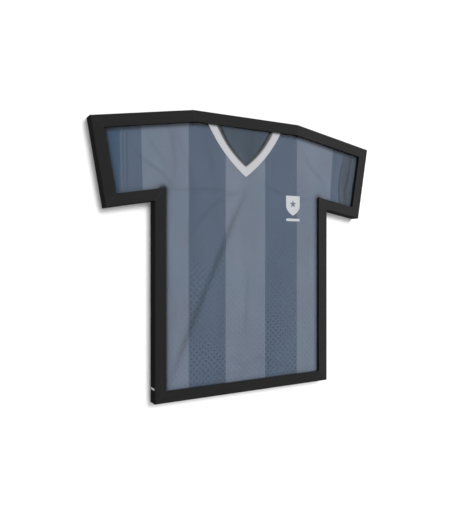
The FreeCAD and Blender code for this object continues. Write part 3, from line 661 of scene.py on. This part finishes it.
def striped_knit(name):
    """Sports knit with upright stripes, from the cloth's flat coordinates."""
    tree = Nodes(name)
    across, along, _ = tree.split(tree.node("UVMap", uv_map="cloth").outputs[0])
    ragged = tree.math("MULTIPLY_ADD", tree.noise(700, 1), 1.2 * MM, -0.6 * MM)
    out = tree.math("ADD", tree.math("ABSOLUTE", across), ragged)
    out = tree.math("DIVIDE", out, STRIPE_SPAN)
    striped = stripe_colours(tree, across, out)
    warm = tree.mix(1.0, striped, (1.022, 0.993, 0.996, 1), "MULTIPLY")
    cool = tree.mix(1.0, striped, (0.965, 1.005, 1.005, 1), "MULTIPLY")
    tinted = tree.mix(tree.grey(tree.noise(6, 2, 0.5), 0.35, 0.65), cool, warm)
    eyelets = eyelet_factor(tree, across, along, out)
    colour = tree.node("VectorMath", (tinted,), operation="SCALE")
    tree.link(cloth_tone_and_painted_shade(tree, eyelets), colour.inputs["Scale"])
    loops = knit_height(tree, across, along)
    holes = tree.math("MULTIPLY_ADD", eyelets, -1.0, 1.0)
    normal = tree.bump(holes, 0.3 * MM, 0.5, tree.bump(loops, 0.1 * MM, 0.5))
    tree.set(Base_Color=colour.outputs[0], Roughness=0.72, Specular_IOR_Level=0.1,
             Sheen_Weight=0.02, Sheen_Roughness=0.4, Normal=normal)
    return tree.material


def plain_knit(name, colour, roughness, spread, wale, course=None, cloud=(800, 3, 0.6)):
    """Knit, tape or thread of one colour, varied by the cloud noise."""
    tree = Nodes(name)
    loops = knit_at(tree, wale, course or wale * 1.35)
    tree.set(Base_Color=varied(tree, colour, tree.noise(*cloud), spread), Roughness=roughness,
             Specular_IOR_Level=0.08, Normal=tree.bump(loops, 0.00015, 0.6))
    return tree.material


def foil(name, colour):
    """Heat-pressed silver film, with the knit showing through faintly."""
    tree = Nodes(name)
    loops = knit_at(tree)
    cloud = tree.noise(45, 2)
    tree.set(Base_Color=varied(tree, colour, cloud, 0.06), Metallic=0.25,
             Roughness=tree.grey(cloud, 0.3, 0.7, 0.32, 0.42), Normal=tree.bump(loops, 0.00005, 0.5))
    return tree.material


# ---- jersey cloth

OUTLINE_INSET = 0.35 * MM  # from the window's outline to the cloth's widest
SIDE_INSET = 22 * MM  # from the frame's outer sides to the front's edge
WRAP_STEPS = 6
# Painted shade on the cloth where it turns round the board's edge, and behind the board.
RIM_PAINTED_SHADE = 0.3
BEHIND_PAINTED_SHADE = 0.2
SAME = 1e-6  # closer heights than this are the same


def profile_rings():
    """How far the cloth's front is set in, and the rings round the board's edge and behind it.

    A ring is (inset from the outline, level, length of cloth from the front's edge)."""
    roll = (BOARD_BACK - BOARD_FRONT) / 2 + CLOTH
    front_level = BOARD_FRONT - CLOTH
    rings = []
    for step in range(1, WRAP_STEPS + 1):
        angle = math.pi * step / WRAP_STEPS
        inset = roll - roll * math.sin(angle)
        level = front_level + roll - roll * math.cos(angle)
        rings.append((inset, level, roll * angle))
    behind = rings[-1]
    for share in (0.25, 0.5, 0.75, 1.0):
        sag = 0.5 * MM * math.sin(math.pi * share)
        rings.append((roll + FOLD_MARGIN * share, behind[1] + sag, behind[2] + FOLD_MARGIN * share))
    return roll, rings


def boundary(corners, spacing):
    """Points round a polygon's sides: (index of the side's first corner, share along it)."""
    marks = []
    for index, (start, end) in enumerate(zip(corners, corners[1:] + corners[:1])):
        pieces = max(2, round((end - start).length / spacing))
        marks += [(index, step / pieces) for step in range(pieces)]
    return marks


def ring_points(corners, marks):
    count = len(corners)
    return [corners[index].lerp(corners[(index + 1) % count], share) for index, share in marks]


def inside(point, corners):
    hit = False
    count = len(corners)
    for index in range(count):
        a, b = corners[index], corners[(index + 1) % count]
        if (a.y > point.y) != (b.y > point.y):
            if point.x < (b.x - a.x) * (point.y - a.y) / (b.y - a.y) + a.x:
                hit = not hit
    return hit


def polygon_area(corners):
    pairs = zip(corners[-1:] + corners[:-1], corners)
    return abs(sum(before.x * corner.y - corner.x * before.y for before, corner in pairs)) / 2


def grid_points(outline, spacing):
    """A triangular grid over an outline's box."""
    step_up = spacing * math.sqrt(3) / 2
    low_x = min(p.x for p in outline)
    low_y = min(p.y for p in outline)
    rows = int((max(p.y for p in outline) - low_y) / step_up) + 1
    columns = int((max(p.x for p in outline) - low_x) / spacing) + 1
    for row in range(rows):
        for column in range(columns):
            yield Vector((low_x + (column + 0.5 * (row % 2)) * spacing, low_y + row * step_up))


class Sheet:
    """The cloth while it is built."""

    def __init__(self, faces):
        self.spots = []
        self.bases = []
        self.painted_shading_values = []
        self.faces = faces

    def add(self, place, level, base, painted_shading):
        """Add a point. Returns its number."""
        self.spots.append(Vector((place.x, level, place.y)))
        self.bases.append((base.x, base.y - BOTTOM))
        self.painted_shading_values.append(painted_shading)
        return len(self.spots) - 1


def front_outline(rim, hole, top_level):
    """The front's outline, which dips round the V, and the V's part of it."""
    v_side = [point for point in hole if point.y < top_level - 0.5 * GRID]
    top = [k for k, point in enumerate(rim) if abs(point.y - top_level) < SAME]
    left = [k for k in top if rim[k].x < v_side[-1].x - GRID / 2]
    right = [k for k in top if rim[k].x > v_side[0].x + GRID / 2]
    return rim[right[0]:] + rim[:left[-1] + 1] + v_side[::-1], v_side


def front_places(outline, v_side, sides):
    v_low = min(corner.y for corner in v_side) - GRID
    places = []
    for spacing, first_out, last_out in ((GRID, 0, FINE_FROM), (FINE_GRID, FINE_FROM, 1)):
        for point in grid_points(outline, spacing):
            if not first_out <= abs(point.x) < last_out or not inside(point, outline):
                continue
            if edge_at(point, sides)[0] < 0.6 * spacing:
                continue
            if point.y < v_low or min((point - corner).length for corner in v_side) > 0.75 * GRID:
                places.append(point)
    return places


def rim_numbers(sheet, flat, rim):
    """Numbers of the rim's points. Those above the V are added."""
    known = {(round(p.x, 6), round(p.y, 6)): k for k, p in enumerate(flat)}
    numbers = []
    for place in rim:
        key = (round(place.x, 6), round(place.y, 6))
        if key not in known:
            known[key] = sheet.add(place, BOARD_FRONT - CLOTH, place, RIM_PAINTED_SHADE)
        numbers.append(known[key])
    return numbers


def wrap_behind(sheet, outline, inner, rings, marks, previous):
    rim = ring_points(inner, marks)
    total = len(rim)
    for inset, level, travelled in rings:
        current = []
        for number, place in enumerate(ring_points(inset_corners(outline, inset), marks)):
            corner = marks[number][0]
            run = (inner[(corner + 1) % len(inner)] - inner[corner]).normalized()
            base = rim[number] + Vector((-run.y, run.x)) * travelled
            current.append(sheet.add(place, level, base, BEHIND_PAINTED_SHADE))
        for number in range(total):
            after = (number + 1) % total
            sheet.faces.append((previous[number], previous[after], current[after], current[number]))
        previous = current


def label_cloth(mesh, sheet):
    layer = mesh.uv_layers.new(name="cloth")
    for loop in mesh.loops:
        x, z = sheet.bases[loop.vertex_index]
        layer.data[loop.index].uv = (sleeve_across(x, z), z)
    cuffs = [smooth(past_hem(x, z), -0.5 * MM, 1.5 * MM) for x, z in sheet.bases]
    # The dark attribute carries painted shade and highlight.
    for label, values in (("dark", sheet.painted_shading_values), ("cuff", cuffs)):
        attribute = mesh.attributes.new(label, "FLOAT", "POINT")
        attribute.data.foreach_set("value", values)


def face_front(mesh, join=True):
    """Turn a sheet's faces so that those in front of the board face the window."""
    bm = bmesh.new()
    bm.from_mesh(mesh)
    if join:
        bmesh.ops.remove_doubles(bm, verts=bm.verts, dist=1e-6)
    bmesh.ops.recalc_face_normals(bm, faces=bm.faces)
    forward = sum(face.normal.y * face.calc_area() for face in bm.faces
                  if face.calc_center_median().y < BOARD_FRONT)
    if forward > 0:
        bmesh.ops.reverse_faces(bm, faces=bm.faces)
    bm.to_mesh(mesh)
    bm.free()


def build_cloth(material):
    outline = inset_corners(CORNERS, OUTLINE_INSET)
    roll, rings = profile_rings()
    inner = inset_corners(outline, roll)
    sides = outline_sides(inner)
    marks = boundary(inner, GRID)
    rim = ring_points(inner, marks)
    front, v_side = front_outline(rim, neck_outline("jersey_neck_trim", TRIM_BOW),
                                  max(corner.y for corner in inner))
    flat, faces = triangulate(front, front_places(front, v_side, sides))
    sheet = Sheet(faces)
    for point in flat:
        level, painted_shading = cloth_level(point, sides)
        sheet.add(point, level, point, painted_shading)
    wrap_behind(sheet, outline, inner, rings, marks, rim_numbers(sheet, flat, rim))
    piece = mesh_object("jersey_cloth", sheet.spots, sheet.faces, material)
    label_cloth(piece.data, sheet)
    face_front(piece.data, join=False)
    thicken(piece, CLOTH * 0.8, -1)
    turned_in = rings[-1][2]
    perimeter = sum((inner[k] - inner[k - 1]).length for k in range(len(inner)))
    area = polygon_area(inner) + perimeter * turned_in
    flat_size = [HIGH[k] - LOW[k] - 2 * SIDE_INSET + 2 * turned_in for k in (0, 2)]
    return piece, tuple(flat_size), area


jersey_material = striped_knit("jersey_knit_stripes")
cloth, cloth_flat, cloth_area = build_cloth(jersey_material)
add_piece(cloth, ["jersey_body"])


# ---- collar, trim and lining

RIB_PITCH = 2.4 * MM
RIB_HEIGHT = 0.16 * MM
BAND_STEPS = 12
RIB_STEPS = 8


def band_row(outer_point, inner_point, levels, thickness, rib):
    row = []
    for step in range(BAND_STEPS + 1):
        across = step / BAND_STEPS
        crown = math.sin(math.pi * across) ** 0.4 if 0 < step < BAND_STEPS else 0
        point = outer_point.lerp(inner_point, across)
        tuck = 0.7 + 0.3 * smooth(abs(point.x - NECK_SHIFT), 0, 2.5 * MM)
        lift = (thickness * (0.3 + 0.7 * crown) + rib * crown) * tuck
        base = levels[0] + (levels[1] - levels[0]) * across
        row.append(Vector((point.x, base - lift, point.y)))
    return row


def band(name, side_pairs, levels, thickness, material, ribbed):
    """A V-shaped band between bowed outer and inner sides."""
    spots = []
    faces = []
    for outer_side, inner_side in side_pairs:
        length = sum((outer_side[k] - outer_side[k - 1]).length for k in range(1, len(outer_side)))
        count = max(24, int(length / RIB_PITCH) * RIB_STEPS)
        first = len(spots)
        for step in range(count + 1):
            rib = RIB_HEIGHT * math.cos(2 * math.pi * step / RIB_STEPS) if ribbed else 0
            spots += band_row(sample(outer_side, step / count), sample(inner_side, step / count),
                              levels, thickness, rib)
        for step in range(count):
            for row in range(BAND_STEPS):
                a = first + step * (BAND_STEPS + 1) + row
                b = a + BAND_STEPS + 1
                faces.append((a, a + 1, b + 1, b))
    piece = mesh_object(name, spots, faces, material)
    face_front(piece.data)
    thicken(piece, 0.25 * MM, -1)
    return piece


def sample(points, share):
    """The place at a share of a line's evenly spaced points."""
    place = share * (len(points) - 1)
    index = min(len(points) - 2, int(place))
    return points[index].lerp(points[index + 1], place - index)


collar_material = plain_knit("collar_rib_knit", (0.44, 0.443, 0.465, 1), 0.75, 0.05, 0.9 * MM)
trim_material = plain_knit("neck_tape", (0.016, 0.017, 0.019, 1), 0.8, 0.2, 0.8 * MM)
thread_material = plain_knit("stitch_thread", (0.40, 0.405, 0.42, 1), 0.6, 0.1, 0.4 * MM)
dark_thread_material = plain_knit("dark_thread", (0.02, 0.021, 0.024, 1), 0.6, 0.1, 0.4 * MM)
lining_material = plain_knit("lining_knit", (0.043, 0.0595, 0.082, 1), 0.8, 0.3, WALE, COURSE,
                             (38, 3, 0.55, (1, 1, 0.35)))

COLLAR_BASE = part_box("jersey_collar")[1].y
TAPE_NARROWER = 8 * MM  # on each side, than the back of the neck in the CAD part
collar_edge = neck_sides("jersey_collar", COLLAR_BOW, 400)
trim_edge = neck_sides("jersey_neck_trim", TRIM_BOW, 400)
tape_edge = neck_sides("jersey_back_neck", NECK_BOW, 400, TAPE_NARROWER)
collar = band("collar_rib", list(zip(collar_edge, trim_edge)), (COLLAR_BASE, COLLAR_BASE),
              0.5 * MM, collar_material, True)
add_piece(collar, ["jersey_collar"])
neck_tape = band("neck_tape", list(zip(trim_edge, tape_edge)),
                 (COLLAR_BASE - 0.05 * MM, COLLAR_BASE + 0.7 * MM), 0.25 * MM, trim_material, False)
add_piece(neck_tape, ["jersey_neck_trim"])


def capsule(bm, start, end, radius, sides=6):
    run = end - start
    side = run.cross(Vector((0, 1, 0))).normalized()
    lift = side.cross(run).normalized()
    rings = []
    for share, size in ((0.0, 0.35), (0.18, 0.85), (0.5, 1.0), (0.82, 0.85), (1.0, 0.35)):
        centre = start + run * share
        rise = -math.sin(math.pi * share) * radius * 0.4
        ring = []
        for k in range(sides):
            angle = 2 * math.pi * k / sides
            offset = side * math.cos(angle) + lift * math.sin(angle)
            ring.append(bm.verts.new(centre + offset * radius * size + Vector((0, rise, 0))))
        rings.append(ring)
    for lower, upper in zip(rings, rings[1:]):
        for k in range(sides):
            after = (k + 1) % sides
            bm.faces.new((lower[k], lower[after], upper[after], upper[k]))
    bm.faces.new(rings[0][::-1])
    bm.faces.new(rings[-1])


def stitch_row(name, paths, pitch, share, radius, material):
    """Rows of stitches. Each fills a share of the pitch."""
    bm = bmesh.new()
    for path in paths:
        lengths = [0.0]
        for k in range(1, len(path)):
            lengths.append(lengths[-1] + (path[k] - path[k - 1]).length)
        count = int(lengths[-1] / pitch)
        for number in range(count):
            begin = along_path(path, lengths, number * pitch)
            finish = along_path(path, lengths, (number + share) * pitch)
            capsule(bm, begin, finish, radius)
    piece = object_from(bm, name, material)
    for face in piece.data.polygons:
        face.use_smooth = True
    return add_piece(piece)


def along_path(path, lengths, distance):
    """The place at a distance along a path, from the lengths up to its points."""
    for k in range(1, len(path)):
        if lengths[k] >= distance:
            run = lengths[k] - lengths[k - 1]
            return path[k - 1].lerp(path[k], (distance - lengths[k - 1]) / run if run else 0)
    return path[-1].copy()


def neck_path(node, bow, shift, level):
    """Both sides of a V, moved outwards from its outline, at one level."""
    paths = []
    for side in neck_sides(node, bow, 60):
        path = []
        for k, point in enumerate(side):
            run = side[min(k + 1, len(side) - 1)] - side[max(k - 1, 0)]
            normal = Vector((run.y, -run.x)).normalized()
            if normal.y > 0:
                normal = -normal
            moved = point + normal * shift
            if (moved.x - NECK_SHIFT) * side[-1].x >= 0:
                path.append(Vector((moved.x, level, moved.y)))
        paths.append(path)
    return paths


LIGHT_STITCH_LEVEL = COLLAR_BASE - 0.12 * MM
DARK_STITCH_LEVEL = COLLAR_BASE - 0.44 * MM
light_paths = neck_path("jersey_neck_trim", TRIM_BOW, -2.9 * MM, LIGHT_STITCH_LEVEL)
dark_paths = []
for stitch_shift in (1.0 * MM, 2.3 * MM):
    dark_paths += neck_path("jersey_neck_trim", TRIM_BOW, stitch_shift, DARK_STITCH_LEVEL)
collar_stitches = stitch_row("collar_stitches_light", light_paths,
                             2.6 * MM, 0.62, 0.46 * MM, thread_material)
tape_stitches = stitch_row("collar_stitches_dark", dark_paths,
                           3.4 * MM, 0.62, 0.45 * MM, dark_thread_material)


LINING_GRID = 3 * MM


def build_lining(material):
    """The inside of the jersey's back, with its area and flat size."""
    low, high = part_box("jersey_back_neck")
    outline = neck_outline("jersey_back_neck", NECK_BOW)
    sides = outline_sides(outline)
    places = []
    for row in range(1, int((high.z - low.z) / LINING_GRID)):
        for column in range(1, int((high.x - low.x) / LINING_GRID)):
            point = Vector((low.x + column * LINING_GRID, low.z + row * LINING_GRID))
            if inside(point, outline) and edge_at(point, sides)[0] > 0.5 * LINING_GRID:
                places.append(point)
    flat, faces = triangulate(outline, places)
    spots = []
    for point in flat:
        fold = noise.noise(Vector((point.x * 30 + point.y * 14, 1.5, point.y * 10))) * 0.3 * MM
        spots.append(Vector((point.x, high.y - 0.35 * MM + fold, point.y)))
    piece = mesh_object("back_neck_lining", spots, faces, material)
    face_front(piece.data)
    thicken(piece, 0.3 * MM, 1)
    return piece, polygon_area(outline), (high.x - low.x, high.z - low.z)


lining, lining_area, lining_flat = build_lining(lining_material)
add_piece(lining, ["jersey_back_neck"])


# ---- sleeve hems

HEM_TOP = 665 * MM
HEM_STEP_DOWN = 2.1 * MM
HEM_POINTS = 91


def hem_paths(offset):
    """Stitch lines down both sleeves, a distance beyond the start of the hem."""
    inner = inset_corners(CORNERS, 3 * MM)
    sides = outline_sides(inner)
    paths = []
    for side in (-1, 1):
        path = []
        for step in range(HEM_POINTS):
            height = HEM_TOP - step * HEM_STEP_DOWN
            place = Vector((hem_across(side, height) + side * offset, up(height)))
            if inside(place, inner):
                path.append(Vector((place.x, cloth_level(place, sides)[0] - 0.1 * MM, place.y)))
        paths.append(path)
    return paths


hem_thread = plain_knit("hem_thread", (0.105, 0.135, 0.175, 1), 0.7, 0.1, 0.4 * MM)
hem_stitches = stitch_row("hem_stitches", hem_paths(-6.0 * MM) + hem_paths(3.0 * MM),
                          3.2 * MM, 0.66, 0.26 * MM, hem_thread)


# ---- chest emblem

def prism(name, outline, back, front, material, bevel):
    """Closed prism between two levels, with rounded edges."""
    bm = bmesh.new()
    far = [bm.verts.new((p.x, back, p.y)) for p in outline]
    near = [bm.verts.new((p.x, front, p.y)) for p in outline]
    count = len(outline)
    for k in range(count):
        after = (k + 1) % count
        bm.faces.new((far[k], far[after], near[after], near[k]))
    bm.faces.new(far[::-1])
    bm.faces.new(near)
    piece = object_from(bm, name, material)
    edge = piece.modifiers.new("edge", "BEVEL")
    edge.width = bevel
    edge.segments = 2
    edge.limit_method = "ANGLE"
    return piece


def shield_outline(low, high):
    shoulder = high.z - (high.z - low.z) * 0.58
    tip = Vector(((low.x + high.x) / 2, low.z))
    lower_right = arc_between(Vector((high.x, shoulder)), tip, -3.2 * MM, 12)
    lower_left = arc_between(tip, Vector((low.x, shoulder)), -3.2 * MM, 12)
    return [Vector((low.x, high.z)), Vector((high.x, high.z))] + lower_right + lower_left[1:]


def bar_outline(low, high):
    radius = (high.z - low.z) / 2
    middle = (high.z + low.z) / 2
    ends = []
    for centre, begin in ((high.x - radius, math.pi / 2), (low.x + radius, -math.pi / 2)):
        for k in range(9):
            angle = begin - math.pi * k / 8
            ends.append(Vector((centre + radius * math.cos(angle), middle + radius * math.sin(angle))))
    return ends


def star_outline(centre, outer, inner):
    points = []
    for k in range(10):
        radius = outer if k % 2 == 0 else inner
        angle = math.pi / 2 - math.pi * k / 5
        points.append(centre + Vector((math.cos(angle), math.sin(angle))) * radius)
    return points


FOIL_PAST = 0.05 * MM  # past the CAD emblem's levels
FOIL_EDGE = 0.1 * MM


def build_emblem():
    low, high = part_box("chest_emblem")
    back = high.y + FOIL_PAST
    silver = foil("emblem_silver", (0.50, 0.51, 0.535, 1))
    shield = prism("emblem_shield", shield_outline(low, high), back, low.y - FOIL_PAST, silver, FOIL_EDGE)
    add_piece(shield, ["chest_emblem"])
    centre = Vector(((low.x + high.x) / 2, high.z - (high.z - low.z) * 0.42))
    star = prism("emblem_star", star_outline(centre, 11 * MM, 4.6 * MM), low.y, low.y - 0.16 * MM,
                 foil("emblem_grey", (0.12, 0.14, 0.17, 1)), 0.04 * MM)
    add_piece(star)
    low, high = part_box("chest_bar")
    bar = prism("emblem_bar", bar_outline(low, high), back, low.y - FOIL_PAST, silver, FOIL_EDGE)
    add_piece(bar, ["chest_bar"])
    return [shield, star, bar]


emblem_pieces = build_emblem()


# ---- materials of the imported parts

def paint(node, material):
    mesh = nodes[node].data
    mesh.materials.clear()
    mesh.materials.append(material)


def rail_at(place):
    def distance(name):
        low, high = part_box(name)
        return (Vector(((low.x + high.x) / 2, (low.z + high.z) / 2)) - place).length
    return min((name for name in nodes if name.endswith("_rail")), key=distance)


def paint_rails():
    """Lacquer for each rail, with painted light: lighter towards the right, as the rails there look more
    brightly lit.
    """
    outer = inset_corners(CORNERS, -27 * MM)
    inner = inset_corners(CORNERS, 7 * MM)
    count = len(CORNERS)
    for index in range(count):
        after = (index + 1) % count
        run = CORNERS[after] - CORNERS[index]
        joints = [(inner[k], (outer[k] - inner[k]).normalized()) for k in (index, after)]
        middle = (CORNERS[index] + CORNERS[after]) / 2
        # Painted light: lighter lacquer towards the right; the small step by index varies the tone from
        # rail to rail.
        lift = 0.66 + 0.5 * smooth(middle.x, -0.1, 0.3) + 0.03 * (index % 3)
        rail = rail_at(middle)
        paint(rail, lacquer_with_painted_light("lacquer_" + rail, -math.atan2(run.y, run.x), joints, lift))


def marked_plate(name):
    """Dark plate with one bright line along its middle."""
    tree = Nodes(name)
    low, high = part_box("side_plate")
    middle = (low.z + high.z) / 2
    away = tree.math("ABSOLUTE", tree.math("SUBTRACT", tree.split(tree.place)[2], middle))
    line = tree.grey(away, 2.1 * MM, 2.6 * MM, 1, 0)
    brushed = tree.noise(900, 2, 0.5, (1, 0.06, 1))
    bright = varied(tree, (0.85, 0.85, 0.84, 1), brushed, 0.08)
    tree.set(Base_Color=tree.mix(line, (0.012, 0.012, 0.012, 1), bright),
             Roughness=tree.grey(brushed, 0.3, 0.7, 0.4, 0.5), Specular_IOR_Level=0.5)
    return tree.material


paint_rails()
bright_zinc = zinc("bright_zinc", (0.66, 0.66, 0.65, 1), 0.33)
button_zinc = zinc("button_zinc", (0.56, 0.55, 0.52, 1), 0.38)
for hardware in ("corner_v_nails", "turn_button_screws", "hanger_screws",
                 "left_keyhole_hanger", "right_keyhole_hanger"):
    paint(hardware, bright_zinc)
for joint in frame["joints"]:
    paint(joint["child"], button_zinc)
pine = bare_pine("bare_pine")
for block in ("left_hanger_block", "right_hanger_block"):
    paint(block, pine)
paint("back_panel", hardboard("hardboard_brown", (0.165, 0.098, 0.055, 1), (0.30, 0.20, 0.12, 1)))
paint("insert_board", hardboard("card_board", (0.60, 0.58, 0.53, 1), (0.5, 0.48, 0.44, 1)))
paint("front_window", clear_sheet("clear_window"))
paint("side_plate", marked_plate("plate_black_silver"))


# ---- stage, light and camera

VIEW_AZIMUTH = math.radians(28.83)
VIEW_DISTANCE = 1.2953
VIEW_ACROSS = -0.0652
LENS = 37.42
SENSOR = 36.0


def stage_plane(name, wide, first, second, material):
    """A rectangle between two level edges, each (y, z)."""
    corners = [(-wide, *first), (wide, *first), (wide, *second), (-wide, *second)]
    piece = mesh_object(name, corners, [(0, 1, 2, 3)], material)
    return piece


def wall_material():
    """White wall that is clear from behind."""
    tree = Nodes("stage_wall")
    tree.set(Base_Color=varied(tree, (0.9, 0.9, 0.9, 1), tree.noise(3, 2), 0.004),
             Roughness=0.95, Specular_IOR_Level=0.0)
    tree.show_clear([tree.node("NewGeometry").outputs["Backfacing"]])
    return tree.material


def build_stage():
    wide, tall, deep = 6.0, 5.2, 5.0
    floor_level = BOTTOM - 0.75
    wall = stage_plane("stage_wall", wide, (HIGH[1], floor_level), (HIGH[1], floor_level + tall),
                       wall_material())
    wall.visible_diffuse = False
    wall.visible_glossy = False
    wall.visible_shadow = False
    tree = Nodes("stage_floor")
    tree.set(Base_Color=varied(tree, (0.78, 0.78, 0.77, 1), tree.noise(2, 2), 0.01), Roughness=0.8)
    floor = stage_plane("stage_floor", wide, (-deep, floor_level), (deep, floor_level), tree.material)
    floor.visible_glossy = False


def add_sun(name, travel, strength, angle):
    """A sun by the direction in which its light travels."""
    lamp = bpy.data.lights.new(name, "SUN")
    lamp.energy = strength
    lamp.angle = math.radians(angle)
    holder = bpy.data.objects.new(name, lamp)
    holder.rotation_euler = Vector(travel).to_track_quat("-Z", "Y").to_euler()
    holder.visible_glossy = False
    holder.visible_transmission = False
    bpy.context.scene.collection.objects.link(holder)


def build_room():
    """A bright room that is dimmer to the left, below and behind the wall."""
    world = bpy.data.worlds.new("studio")
    bpy.context.scene.world = world
    world.use_nodes = True
    tree = Nodes(tree=world.node_tree)
    x, y, z = tree.split(tree.node("TexCoord").outputs["Generated"])
    sideways = tree.grey(x, -0.4, 0.95, 0.5, 1.04)
    upward = tree.grey(z, -0.9, 0.15, 0.2, 0.92)
    behind = tree.grey(y, -0.1, 0.4, 1, 0.25)
    strength = tree.math("MULTIPLY", tree.math("MULTIPLY", sideways, upward), behind)
    background = world.node_tree.nodes["Background"]
    background.inputs[0].default_value = (1, 1, 1, 1)
    tree.link(strength, background.inputs[1])


def build_light():
    build_room()
    add_sun("key", (-0.31, 1, -0.34), 1.45, 30)
    add_sun("high_key", (-0.29, 1, -0.6), 1.35, 30)
    add_sun("back_fill", (0.0, -1, -0.1), 1.8, 20)


def build_camera():
    look = Vector((VIEW_ACROSS, FRONT, (LOW[2] + HIGH[2]) / 2))
    towards = Vector((math.sin(VIEW_AZIMUTH), math.cos(VIEW_AZIMUTH), 0))
    lens = bpy.data.cameras.new("camera")
    lens.lens = LENS
    lens.sensor_width = SENSOR
    holder = bpy.data.objects.new("camera", lens)
    holder.location = look - towards * VIEW_DISTANCE
    holder.rotation_euler = towards.to_track_quat("-Z", "Y").to_euler()
    bpy.context.scene.collection.objects.link(holder)
    bpy.context.scene.camera = holder


build_stage()
build_light()
build_camera()
bpy.context.scene.view_settings.view_transform = "Standard"
